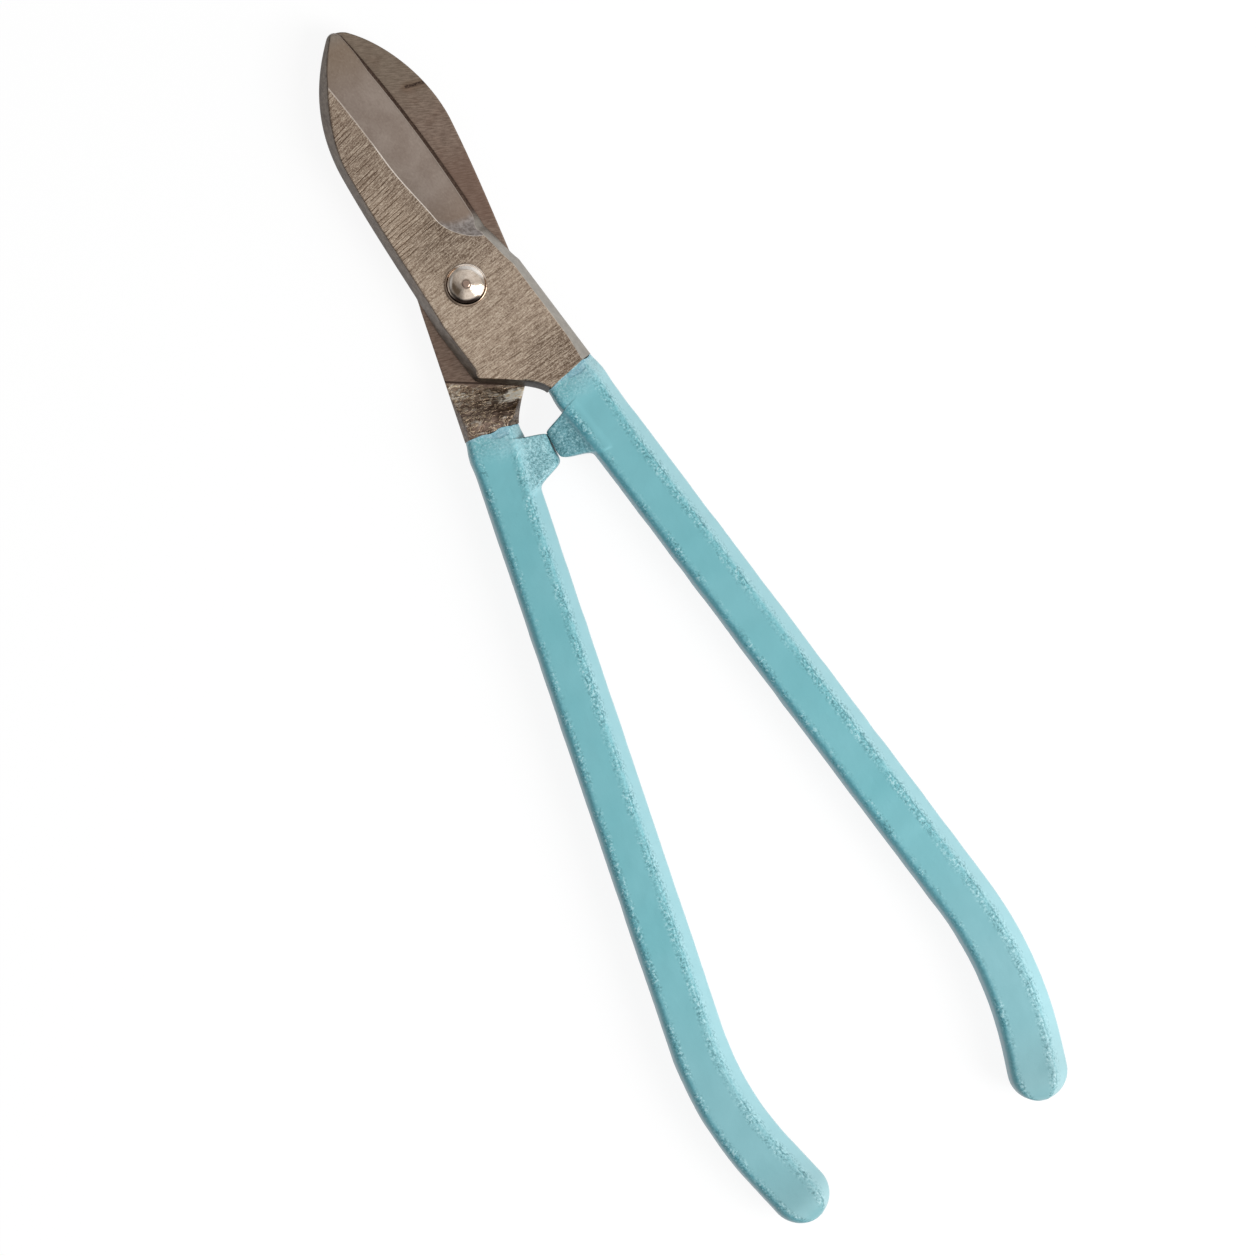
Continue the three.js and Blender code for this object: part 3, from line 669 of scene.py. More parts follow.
def upper_surface(half, left, right, crown, x, y):
    """The lower envelope of the ground face, the bevel and the leaning sides. Gives the height, how much of
    it the rounded border took, the marks, and the distances to the sides."""
    d_left, d_right, d_nose = (distance_to(line, x, y) for line in (left, right, crown))
    lower = ease((-y - PLATE_DROP) / (half["mouth"] - PLATE_DROP))
    nose = np.clip((BLADE_REACH - y) / NOSE_FADE, NOSE_EDGE_SHARE, 1)
    foot = ease((-y - PLATE_DROP + FOOT_RUN) / FOOT_RUN)
    spine = SIDE_LEAN * (1 + NOSE_SPINE * ease((y - SPINE_FROM) / SPINE_RUN))
    lean_left = blend(blend(spine, FOOT_LEAN, foot), NARROW_BAND * MOUTH_BAND_SHARE, lower)
    blade_lean = blend(SIDE_LEAN, EDGE_LEAN, ease((y - HEEL_RISE + 1) / 2)) * nose
    lean_right = blend(blade_lean, BROAD_BAND * MOUTH_BAND_SHARE, lower)
    land = HALF_JAW + SIDE_LAND
    rise = FACE_LEVEL - land
    face = face_at(y)
    cut, run = bevel_heights(right, x, y)
    cut = np.where(y > HEEL_RISE - RUN_OUT_DROP - 1, cut, face + 1)
    side_left, side_right = land + rise * d_left / lean_left, land + rise * d_right / lean_right
    d_nose = np.where(y > NOSE_FROM, d_nose, BLADE_REACH)
    tip = land + rise * d_nose / NOSE_LEAN
    top = soft_min(face, cut, RIDGE_ROUND)
    for slope in (side_left, tip, side_right):
        top = soft_min(top, slope, SIDE_ROUND)
    side = np.minimum(np.minimum(side_left, side_right), tip)
    nearest = np.minimum(np.minimum(d_left, d_right), d_nose)
    keen = (y > HEEL_RISE) & (d_right < d_left)
    edge_round = rounded(nearest, np.where(keen, KEEN_ARRIS, ARRIS))
    values = {
        "gap": np.clip(face - cut, -1, 1),
        "lean": np.clip(np.minimum(face, cut) - side, -1, 1),
        "run": np.clip(run, -1, 1),
        "right": ease(d_left - d_right + 0.5),
        "depth": face - top,
        "foot": foot * ease((d_right - d_left) / 2 + 0.5),
    }
    return top - edge_round, edge_round, values, (d_left, d_right, lower)


def under_surface(half, x, y, edge_round, sides):
    """The upper envelope of the inner face with its ramp, beaten a little uneven, and the lower sides. Gives
    the height and the marks."""
    d_left, d_right, lower = sides
    level, fall, start = ramp_height(half, x, y)
    ahead = ahead_of_mouth(half, x, y)
    beaten = ease(fall / 0.1) * ease(ahead / 1.2)
    lump = lattice_noise(x, y, 1.5, half["seed"] + 3) + 0.6 * lattice_noise(x, y, 0.7, half["seed"] + 4)
    furrow = lattice_noise(x + y, (y + FURROW_SLANT * x) * 3.5, 1.9, half["seed"] + 8)
    level = np.maximum(level, STEEL_STEP - GRIP_THICKNESS / 2)
    level = level + (FORGED_LUMP * lump + FORGED_FURROW * furrow) * beaten
    rise = GRIP_THICKNESS / 2 - STEEL_STEP - SIDE_LAND
    broad = blend(WINDOW_LEAN, BROAD_BAND * MOUTH_BAND_SHARE, ease(1.4 - ahead))
    low_left = -SIDE_LAND - rise * d_left / blend(SIDE_LEAN, broad, lower)
    low_right = -SIDE_LAND - rise * d_right / blend(SIDE_LEAN, NARROW_BAND * MOUTH_BAND_SHARE, lower)
    bottom = soft_max(soft_max(level, low_left, SIDE_ROUND), low_right, SIDE_ROUND)
    inner = ease((level - HALF_JAW + 0.06) / 0.05)
    # Where the ramp gets a painted highlight, above 0, and a painted dark reflection, below 0.
    painted_glint = 1.3 * bell(fall - 0.27 - 0.05 * d_left, d_left, 0.2, 2.6)
    painted_glint = painted_glint + 0.32 * bell(fall - 0.2, d_right - 0.9, 0.16, 0.9)
    ramp_dark_reflection = bell(fall - 0.64, d_left - 0.6, 0.12, 3.6)
    values = {
        "lean": np.clip(np.maximum(low_left, low_right) - level, -1, 1) - inner,
        "right": 0.3 * ease(d_right - d_left + 0.5),
        "inner": inner,
        "ramp": 1 - inner,
        "start": np.clip(start, -1, 1),
        "fall": fall,
        "glint": (painted_glint - ramp_dark_reflection) * (fall > 0),
    }
    return np.minimum(bottom, HALF_JAW) + edge_round, values


def tang(half, shares):
    """The same section past the mouth, drawn in, to the end of the handle, where it closes with a quarter
    turn."""
    mouth, end = along_grip(half, half["mouth"]), grip_end(half)
    nose = (GRIP_WIDTH + GRIP_SWELL) / 2
    turn = np.linspace(0, math.pi / 2, TANG_END_ROWS)[1:]
    s = np.concatenate([[mouth - MOUTH_SHADOW], np.linspace(mouth + 1, end - nose, TANG_ROWS)])
    scale = np.concatenate([np.ones(len(s)), np.maximum(np.cos(turn), 0.1)])[:, None]
    s = np.concatenate([s, end - nose + (nose - TANG_INSET) * np.sin(turn)])[:, None]
    cx, cy, angle = grip_station(half, s)
    w, h = GRIP_WIDTH / 2 - TANG_INSET, GRIP_THICKNESS / 2 - TANG_INSET
    a = w * (2 * shares[None, :] - 1)
    tilt = math.tan(math.radians(half["mouth_slant"])) * np.clip((mouth + BAND_RUN - s) / BAND_RUN, 0, 1)
    x = cx + a * scale * np.cos(angle) - a * tilt * np.sin(angle)
    y = cy + a * scale * np.sin(angle) + a * tilt * np.cos(angle)

    def height(minus, plus):
        level = soft_min(h + 0 * a, SIDE_LAND + h * (a + w) / minus, SIDE_ROUND)
        return soft_min(level, SIDE_LAND + h * (w - a) / plus, SIDE_ROUND) * np.sqrt(scale)

    return x, y, height(NARROW_BAND, BROAD_BAND), -height(BROAD_BAND, NARROW_BAND)


def build_half(name, half, over, material):
    """One forging as an upper and a lower height over the same plan, joined round the border by a wall. Its
    points carry marks for the material: gap, by how much the ground face is above the bevel; lean, by how
    much the faces are above the side; run, by how much the slope where the bevel runs out is above it; right,
    1 on the right side; depth, below the ground face; foot, 1 at the plate's foot; inner and ramp, 1 on
    those; start, the distance past the ramp's first line; fall, the share of the way down the ramp; glint,
    above 0 where the ramp gets a painted highlight and below 0 where it gets a painted dark reflection; nick,
    the distance to the nick; and grain, the plan sheared so that the grinding marks lie along its first axis."""
    left, right, crown = plan_sides(half)
    x, y, shares = plan_grid(half, left, right, crown)
    top, edge_round, above, sides = upper_surface(half, left, right, crown, x, y)
    bottom, below = under_surface(half, x, y, edge_round, sides)
    tx, ty, t_top, t_bottom = tang(half, shares[-1])
    rows, columns = len(x) + len(tx), x.shape[1]
    plan = np.concatenate([np.stack([x, y], -1), np.stack([tx, ty], -1)])
    upper = np.concatenate([plan, np.concatenate([top, t_top])[..., None]], -1).reshape(-1, 3)
    under = np.concatenate([plan, np.concatenate([bottom, t_bottom])[..., None]], -1).reshape(-1, 3)
    count = rows * columns
    shell = [grid_faces(rows, columns, False), grid_faces(rows, columns, False, count)[:, ::-1]]
    index = np.arange(count).reshape(rows, columns)
    for border, flip in ((index[0], 1), (index[-1], 0), (index[:, 0], 0), (index[:, -1], 1)):
        wall = np.stack([border[:-1], border[1:], border[1:] + count, border[:-1] + count], 1)
        shell.append(wall[:, ::-1] if flip else wall)

    if over:
        below["nick"] = distance_to(np.array(NICK_LINE), x, y)
    values = {}
    for key in sorted({"nick", *above, *below}):
        plain = np.full_like(y, WHERE_NONE.get(key, 0.0))
        spare = np.full_like(tx, WHERE_NONE.get(key, 0.0)).ravel()
        above_it, below_it = above.get(key, plain).ravel(), below.get(key, plain).ravel()
        values[key] = np.concatenate([above_it, spare, below_it, spare])
    slant = np.radians(blend(GRIND_SLANTS[0], GRIND_SLANTS[1], ease((y + 15) / 45)))
    grain = np.concatenate([np.stack([x, y - x * np.tan(slant), 0 * x], -1), np.stack([tx, ty, 0 * tx], -1)])
    values["grain"] = np.tile(grain.reshape(-1, 3), (2, 1))
    points = np.concatenate([upper, under])
    points = turned_over(points) if over else points
    return mesh_object(name, points, np.concatenate(shell), values, material, STEEL_CREASE)


# Rivet

def build_rivet(name, material):
    """A profile of Bezier curves and lines turned round the pivot's axis, the dome a little to one side, and
    dented by a lattice noise where the hammer and the polishing left it uneven."""
    base, set_base = FACE_LEVEL + HEAD_CLEARANCE, -FACE_LEVEL - HEAD_CLEARANCE
    crown, rim, lip = base + HEAD_HEIGHT - PIP_HEIGHT, HEAD_RADIUS - HEAD_RIM, 0.06
    set_top, foot = set_base - SET_HEIGHT, FOOT_RADIUS
    profile = [
        [(1e-4, set_top), (foot / 2, set_top)],
        bezier([(foot, set_top), (SET_RADIUS, set_top), (SET_RADIUS, set_base + lip)], 22),
        [(SET_RADIUS - lip, set_base), (RIVET_RADIUS, set_base), (RIVET_RADIUS, 0), (RIVET_RADIUS, base)],
        [(HEAD_RADIUS - lip, base)],
        bezier([(HEAD_RADIUS, base + lip), (HEAD_RADIUS, base + 0.24), (rim + 0.1, base + 0.27)], 7),
        bezier([(rim, base + 0.08), (rim - 0.12, base + 0.5), (0.72 * rim, base + 0.73)], 18),
        bezier([(0.7 * rim, base + 0.745), (1.3, base + 0.94), (PIP_RADIUS + 0.12, crown)], 18),
        bezier([(PIP_RADIUS, crown), (0.9 * PIP_RADIUS, crown + PIP_HEIGHT), (0.2, crown + PIP_HEIGHT)], 9),
        [(1e-4, crown + PIP_HEIGHT)],
    ]
    profile = np.concatenate([np.asarray(part, float) for part in profile])
    r, z = profile[:, :1], profile[:, 1:]
    theta = np.arange(TURNS)[None, :] * TAU / TURNS
    shift = HEAD_SHIFT * ease((z - base - 0.05) / 0.25) * np.array(way(HEAD_SHIFT_WAY, 0))
    x, y = r * np.cos(theta) + shift[:, :1], r * np.sin(theta) + shift[:, 1:2]
    domed = (np.abs(z) > base + HEAD_RIM) * ease((HEAD_RADIUS - r) / 0.6)
    uneven = lattice_noise(x + 9, y + 9, 1.3, 5) + 0.4 * lattice_noise(x + 9, y + 9, 0.6, 6)
    dent = HAMMER_DENT * (uneven - 1) * domed
    points = np.stack([x, y, z + dent * np.sign(z)], -1).reshape(-1, 3)
    values = {"radius": np.ravel(r + 0 * theta)}
    faces = grid_faces(len(profile), TURNS, True)
    return mesh_object(name, points, faces, values, material, STEEL_CREASE, poles=True)


# Materials

def linear(red, green, blue):
    """A colour given as it shows on the screen, from 0 to 255, as the light it stands for."""
    shares = [c / 255 for c in (red, green, blue)]
    return [c / 12.92 if c <= 0.04045 else ((c + 0.055) / 1.055) ** 2.4 for c in shares] + [1.0]


# Colours of the steel
FACE_DEEP, FACE_PALE = linear(138, 120, 105), linear(171, 153, 135)
MARK_PALE = linear(206, 190, 170)
HAIR_PALE = linear(214, 199, 180)
GRIT_PALE = linear(206, 191, 171)
SATIN_DEEP, SATIN_PALE = linear(131, 117, 107), linear(143, 130, 120)
SATIN_TIP, SATIN_HEEL, SATIN_NOSE = linear(122, 105, 88), linear(124, 105, 90), linear(128, 122, 114)
BRUSH_PALE = linear(178, 164, 150)
SCOURED_DEEP, SCOURED_PALE = linear(138, 128, 122), linear(180, 171, 166)
SIDE_DEEP, SIDE_PALE = linear(110, 100, 93), linear(146, 137, 128)
# The second is the right sides' painted light.
SIDE_RUBBED, SIDE_RIGHT_LIGHT = linear(172, 164, 154), linear(190, 187, 178)
# Painted shade of the plate's foot side.
FOOT_SHADE_BLACK = linear(30, 20, 13)
# Colours of the keen side's painted dark reflection.
KEEN_REFLECTION_DEEP, KEEN_REFLECTION_PALE = linear(66, 50, 42), linear(100, 82, 70)
INNER_DEEP, INNER_PALE = linear(104, 87, 76), linear(139, 121, 108)
INNER_TIP, INNER_WAIST = linear(112, 106, 90), linear(108, 84, 72)
SCALE_DEEP, SCALE_PALE = linear(118, 98, 82), linear(152, 132, 114)
WORM_PALE = linear(212, 190, 160)
# Colours of the ramp's painted highlight.
GLINT_WARM, GLINT_WHITE = linear(232, 208, 170), linear(255, 250, 236)
RAMP_LINE = linear(46, 33, 26)
# Painted highlight of the bevel's ridge.
CREST_HIGHLIGHT = linear(232, 223, 213)
# Painted highlight along the keen side.
KEEN_HIGHLIGHT = linear(190, 176, 164)
# Painted highlight along the arrises.
ARRIS_HIGHLIGHT = linear(232, 221, 207)
NICK_BROWN = linear(40, 24, 18)

# Colours of the coat
COAT_DEEP, COAT_PALE = linear(113, 183, 191), linear(121, 188, 196)
COAT_END = linear(214, 196, 200)
LIP_PALE = linear(156, 208, 217)
# Painted highlight of the broad slopes.
BROAD_HIGHLIGHT = linear(158, 204, 211)
# Painted shade of the narrow slopes.
NARROW_SHADE = linear(96, 170, 183)
# Painted reflection, in grey, on the uprights.
UPRIGHT_REFLECTION = linear(136, 172, 184)
# Painted shadow on the lug.
LUG_SHADOW = linear(104, 172, 181)
FILM_THIN, FILM_EDGE = linear(132, 182, 198), linear(62, 116, 134)
SPECK_PALE, SPECK_DEEP = linear(182, 224, 229), linear(50, 110, 118)
CRAWL_PALE, CRAWL_DEEP = linear(214, 240, 245), linear(52, 112, 122)
CREASE_DEEP = linear(52, 112, 120)

# Colours of the rivet
RIVET_DEEP, RIVET_PALE = linear(184, 169, 154), linear(218, 204, 190)
PIP_BROWN = linear(134, 108, 95)
# Painted dark reflection on the rivet.
DARK_REFLECTION_BROWN = linear(98, 81, 62)
# Painted shade in the rivet's crease.
CREASE_SHADE_BLACK = linear(38, 24, 20)
# Painted highlight on the rivet.
HIGHLIGHT_WHITE = linear(255, 248, 240)

# Tints that darken what they are laid over
MARK_TINT = (0.6, 0.55, 0.51)
LINE_TINT = (0.4, 0.34, 0.3)

SCORE_SPACING = 0.62  # between the dark lines that the wheel left across the blade


class Finish:
    """A node material in the making. Each call adds one node and gives its outcome. The place is the object's
    own, in millimetres."""

    def __init__(self, name):
        self.material = bpy.data.materials.new(name)
        self.material.use_nodes = True
        self.tree = self.material.node_tree
        self.shader = self.tree.nodes["Principled BSDF"]
        self.place = self.mapped(self.add("TexCoord").outputs["Object"], (1 / MM,) * 3)

    def put(self, value, socket):
        if isinstance(value, bpy.types.NodeSocket):
            self.tree.links.new(value, socket)
        else:
            socket.default_value = value

    def add(self, kind, **settings):
        made = self.tree.nodes.new("ShaderNode" + kind)
        for key, value in settings.items():
            setattr(made, key, value)
        return made

    def mapped(self, vector, scale, turn=0.0):
        """The vector times the scale, for a pattern whose own axes are turned anticlockwise."""
        made = self.add("Mapping", vector_type="TEXTURE")
        self.put(vector, made.inputs["Vector"])
        made.inputs["Scale"].default_value = [1 / number for number in scale]
        made.inputs["Rotation"].default_value = (0, 0, math.radians(turn))
        return made.outputs["Vector"]

    def noise(self, vector, scale=1.0, detail=2.0, rough=0.5, twist=0.0):
        made = self.add("TexNoise")
        self.put(vector, made.inputs["Vector"])
        made.inputs["Scale"].default_value = scale
        made.inputs["Detail"].default_value = detail
        made.inputs["Roughness"].default_value = rough
        made.inputs["Distortion"].default_value = twist
        return made.outputs["Fac"]

    def attribute(self, name, vector=False):
        return self.add("Attribute", attribute_name=name).outputs["Vector" if vector else "Fac"]

    def level(self, vector):
        """The second of a vector's three numbers."""
        made = self.add("SeparateXYZ")
        self.put(vector, made.inputs[0])
        return made.outputs[1]

    def near(self, vector, x, y, outer, inner):
        """1 within the inner distance of a place, 0 beyond the outer one."""
        made = self.add("VectorMath", operation="DISTANCE")
        self.put(vector, made.inputs[0])
        made.inputs[1].default_value = (x, y, 0)
        return self.spread(made.outputs["Value"], outer, inner)

    def toward(self, bearing):
        """How far, in mm, a point lies from the pivot's axis in the way of a bearing in the picture."""
        made = self.add("VectorMath", operation="DOT_PRODUCT")
        self.put(self.place, made.inputs[0])
        made.inputs[1].default_value = way(bearing, 0)
        return made.outputs["Value"]

    def calc(self, operation, a, b=0.0, c=0.0):
        made = self.add("Math", operation=operation)
        for value, socket in zip((a, b, c), made.inputs):
            self.put(value, socket)
        return made.outputs[0]

    def times(self, a, b):
        return self.calc("MULTIPLY", a, b)

    def spread(self, value, low, high, to_low=0.0, to_high=1.0):
        """Eases from one number where the value is at its low end to another at its high end."""
        made = self.add("MapRange", interpolation_type="SMOOTHSTEP")
        self.put(value, made.inputs[0])
        for k, number in enumerate((low, high, to_low, to_high)):
            made.inputs[k + 1].default_value = number
        return made.outputs[0]

    def lines(self, value, width, middle=0.5):
        """1 where the value is at its middle, 0 further off than the width."""
        off = self.calc("ABSOLUTE", self.calc("SUBTRACT", value, middle))
        return self.spread(off, width * 0.3, width, 1.0, 0.0)

    def mix(self, share, a, b, how="MIX"):
        made = self.add("Mix", data_type="RGBA", blend_type=how)
        self.put(share, made.inputs["Factor"])
        self.put(a, made.inputs[6])
        self.put(b, made.inputs[7])
        return made.outputs[2]

    def darken(self, share, colour, tint):
        """The colour times a tint of three numbers from 0 to 1, at a share."""
        return self.mix(share, colour, (*tint, 1.0), "MULTIPLY")

    def bump(self, height, strength, distance, before=None):
        made = self.add("Bump")
        self.put(strength, made.inputs["Strength"])
        made.inputs["Distance"].default_value = distance * MM
        self.put(height, made.inputs["Height"])
        if before is not None:
            self.put(before, made.inputs["Normal"])
        return made.outputs["Normal"]

    def finish(self, colour, roughness, normal, **others):
        self.put(colour, self.shader.inputs["Base Color"])
        self.put(roughness, self.shader.inputs["Roughness"])
        self.put(normal, self.shader.inputs["Normal"])
        for key, value in others.items():
            self.put(value, self.shader.inputs[key.replace("_", " ")])
        return self.material


def ground_face(f, grain, along, gap, grit):
    """The ground face, from broad to fine: its tone, in part a painted reflection, two dusky places, streaks,
    fine and hair marks, grit, a painted shadow of the rivet's head to the picture's upper left, the lines
    scored across the blade and scratches. Gives the colour, and the fine, hair and scored marks."""
    # The tone pales towards the plate and the picture's lower left: partly the steel's own tone, partly a
    # painted reflection.
    cloud = f.noise(f.place, 0.14, 2, 0.5)
    tone = f.calc("ADD", f.spread(along, 27, -6), f.spread(f.toward(242), -6, 6, -0.4, 0.2))
    tone = f.calc("SUBTRACT", tone, 0.16)
    tone = f.calc("MULTIPLY_ADD", f.spread(cloud, 0.25, 0.75), 0.4, tone)
    colour = f.mix(f.spread(tone, 0, 1), FACE_DEEP, FACE_PALE)
    # The dusky place by the coat's mouth, on the right, is in part painted shade.
    dusk = f.calc("MAXIMUM", f.near(grain, 1.0, 7.5, 9.0, 1.5), f.near(grain, 8.0, -18.5, 11.0, 3.0))
    colour = f.darken(f.times(dusk, 0.9), colour, (0.63, 0.6, 0.58))
    streak = f.noise(f.mapped(grain, (0.12, 1.3, 1)), 1, 2, 0.55)
    streaky = f.times(f.spread(streak, 0.52, 0.3), f.spread(along, -4, -14, 0.2, 0.55))
    colour = f.darken(streaky, colour, (0.66, 0.62, 0.58))

    fine = f.noise(f.mapped(grain, (0.75, 5.6, 1), 9), 1, 2, 0.6)
    colour = f.darken(f.times(f.spread(fine, 0.54, 0.38), 0.45), colour, MARK_TINT)
    colour = f.mix(f.times(f.spread(fine, 0.54, 0.66), 0.26), colour, MARK_PALE)
    hair = f.noise(f.mapped(grain, (0.3, 3.4, 1)), 1, 1.5, 0.6)
    colour = f.darken(f.times(f.lines(hair, 0.05, 0.42), 0.62), colour, (0.52, 0.47, 0.43))
    colour = f.mix(f.times(f.lines(hair, 0.04, 0.57), 0.4), colour, HAIR_PALE)
    colour = f.mix(f.times(f.spread(grit, 0.53, 0.66), 0.48), colour, GRIT_PALE)
    colour = f.darken(f.times(f.spread(grit, 0.48, 0.36), 0.75), colour, MARK_TINT)
    # A painted shadow of the rivet's head, which darkens the face to the picture's upper left of the rivet.
    rivet_head_shadow = f.times(f.near(f.place, 0.0, 0.0, 4.0, 3.0), f.spread(f.toward(300), -1.5, 2.5, 0.1, 0.7))
    colour = f.darken(rivet_head_shadow, colour, (0.5, 0.44, 0.44))

    scored = f.times(f.spread(along, 4, 9), f.spread(along, 33, 29))
    scored = f.calc("MAXIMUM", scored, f.spread(along, -8, -14, 0.0, 0.55))
    near_ridge = f.spread(gap, -0.7, -0.25, 1.0, 0.25)
    shake = f.noise(f.mapped(grain, (0.05, 0.25, 1)), 1, 1, 0.5)
    wave = f.calc("SINE", f.calc("MULTIPLY_ADD", f.level(grain), TAU / SCORE_SPACING, f.times(shake, 8.0)))
    broken = f.spread(f.noise(f.mapped(grain, (0.25, 1.3, 1)), 1, 1, 0.5), 0.38, 0.5)
    scores = f.times(f.times(f.spread(wave, 0.5, 0.92), broken), f.times(scored, near_ridge))
    colour = f.darken(scores, colour, (0.36, 0.3, 0.26))
    scratch = f.lines(f.noise(f.mapped(grain, (0.12, 0.95, 1)), 1, 1.5, 0.5), 0.035)
    return f.darken(f.times(scratch, 0.3), colour, (0.55, 0.5, 0.46)), fine, hair, scores


def satin_bevel(f, along):
    """The bevel's satin, browner at the heel and the tip, and the paler scoured slope where it runs out."""
    satin = f.noise(f.place, 0.32, 3, 0.55)
    smooth = f.mix(f.spread(satin, 0.25, 0.75), SATIN_DEEP, SATIN_PALE)
    smooth = f.mix(f.times(f.spread(along, 30, 37), 0.7), smooth, SATIN_TIP)
    smooth = f.mix(f.times(f.spread(along, 15, 8), 0.6), smooth, SATIN_HEEL)
    smooth = f.mix(f.times(f.spread(along, 37.5, 40), 0.6), smooth, SATIN_NOSE)
    brushed = f.noise(f.mapped(f.place, (3.4, 2.4, 3)), 1, 3, 0.65)
    smooth = f.darken(f.times(f.spread(brushed, 0.52, 0.34), 0.3), smooth, (0.74, 0.69, 0.65))
    smooth = f.mix(f.times(f.spread(brushed, 0.55, 0.7), 0.14), smooth, BRUSH_PALE)
    scour = f.noise(f.place, 1.9, 3, 0.65)
    return smooth, f.mix(f.spread(scour, 0.35, 0.65), SCOURED_DEEP, SCOURED_PALE)


def forged_sides(f, along, right, foot, edge_side):
    """The forged sides: painted shade low down, to the left and, near black, at the plate's foot, painted
    light to the right, and the keen side of the cutting edge in a painted dark reflection. Gives the colour
    and the skin's unevenness."""
    skin = f.noise(f.place, 0.9, 4, 0.65)
    rub = f.noise(f.place, 3.4, 3, 0.6)
    colour = f.mix(f.spread(skin, 0.3, 0.72), SIDE_DEEP, SIDE_PALE)
    colour = f.mix(f.times(f.spread(rub, 0.48, 0.7), 0.3), colour, SIDE_RUBBED)
    # Painted shade, deeper the further a side lies below the ground face.
    low = f.times(f.spread(f.attribute("depth"), 0.8, 2.7, 0, 0.55), f.spread(along, -2, 4, 0.3, 1.0))
    colour = f.darken(low, colour, (0.5, 0.48, 0.48))
    # Painted shade on the sides to the left, which face away from the lamps.
    left = f.spread(right, 0.7, 0.1)
    colour = f.darken(f.times(left, f.spread(along, -2, 4, 0.5, 1.0)), colour, (0.72, 0.66, 0.6))
    drawn = f.noise(f.mapped(f.place, (3.2, 0.4, 1), 20), 1, 2, 0.6)
    colour = f.darken(f.times(f.spread(drawn, 0.55, 0.35), left), colour, (0.8, 0.76, 0.72))
    # Painted light on the sides to the right, which face the lamps.
    colour = f.mix(f.times(right, 0.4), colour, SIDE_RIGHT_LIGHT)
    # The plate's foot side, which faces the picture's bottom, in a near-black painted shade.
    colour = f.mix(f.times(foot, 0.95), colour, FOOT_SHADE_BLACK)
    # The keen side of the cutting edge in a painted dark reflection.
    keen = f.mix(f.spread(rub, 0.35, 0.65), KEEN_REFLECTION_DEEP, KEEN_REFLECTION_PALE)
    return f.mix(edge_side, colour, keen), skin


def inner_face(f, grain, along, grit):
    """The bare inner face: brown and finely ground, darker below the rivet, redder above it."""
    rest = f.noise(f.mapped(grain, (0.9, 4.6, 1), 8), 1, 3, 0.62)
    colour = f.mix(f.spread(rest, 0.3, 0.7), INNER_DEEP, INNER_PALE)
    colour = f.darken(f.times(f.spread(grit, 0.47, 0.34), 0.35), colour, MARK_TINT)
    colour = f.darken(f.times(f.spread(along, 2, -6), 0.9), colour, (0.76, 0.72, 0.7))
    colour = f.mix(f.times(f.spread(along, 20, 34), 0.35), colour, INNER_TIP)
    waist = f.times(f.spread(along, 4, 9), f.spread(along, 20, 14))
    colour = f.mix(f.times(waist, 0.55), colour, INNER_WAIST)
    cloud = f.noise(f.place, 0.45, 2, 0.5)
    return f.darken(f.times(f.spread(cloud, 0.45, 0.75), 0.4), colour, (0.8, 0.7, 0.66))


def ramp_scale(f, grain, glint):
    """The ramp's wormy, furrowed scale, greyer as it falls away, with a painted highlight where the glint is
    high and a painted dark reflection where it is low. Gives the colour, the share of the painted highlight,
    and the crawl, worms and furrows."""
    crawl = f.noise(f.place, 0.85, 1.2, 0.6, 1.6)
    worms = f.lines(crawl, 0.04)
    furrow = f.noise(f.mapped(grain, (0.3, 1.9, 1), 12), 1, 2.5, 0.62, 0.7)
    patchy = f.noise(f.place, 0.6, 3, 0.6)
    colour = f.mix(f.spread(patchy, 0.3, 0.7), SCALE_DEEP, SCALE_PALE)
    colour = f.darken(f.spread(f.attribute("fall"), 0.3, 0.62), colour, (0.72, 0.71, 0.76))
    colour = f.darken(f.times(f.spread(furrow, 0.52, 0.4), 0.5), colour, (0.5, 0.43, 0.36))
    colour = f.mix(f.times(worms, 0.45), colour, WORM_PALE)
    colour = f.darken(f.times(f.lines(crawl, 0.035, 0.44), 0.6), colour, (0.42, 0.34, 0.28))
    ragged = f.calc("MULTIPLY_ADD", furrow, 0.6, f.times(crawl, 0.6))
    # A painted dark reflection where the glint is low.
    dark_reflection_share = f.spread(f.calc("MULTIPLY_ADD", ragged, 1.6, glint), 0.85, -0.1)
    colour = f.darken(f.times(dark_reflection_share, f.spread(glint, 0, -0.25)), colour, (0.36, 0.29, 0.2))
    # A painted highlight where the glint is high, warm and white.
    bright = f.spread(f.calc("MULTIPLY_ADD", ragged, 2.4, glint), 1.4, 2.4)
    painted_glint = f.noise(f.mapped(grain, (0.9, 4.2, 1), 12), 1, 2, 0.6)
    painted_glint = f.mix(f.spread(painted_glint, 0.38, 0.54), GLINT_WARM, GLINT_WHITE)
    return f.mix(bright, colour, painted_glint), bright, crawl, worms, furrow


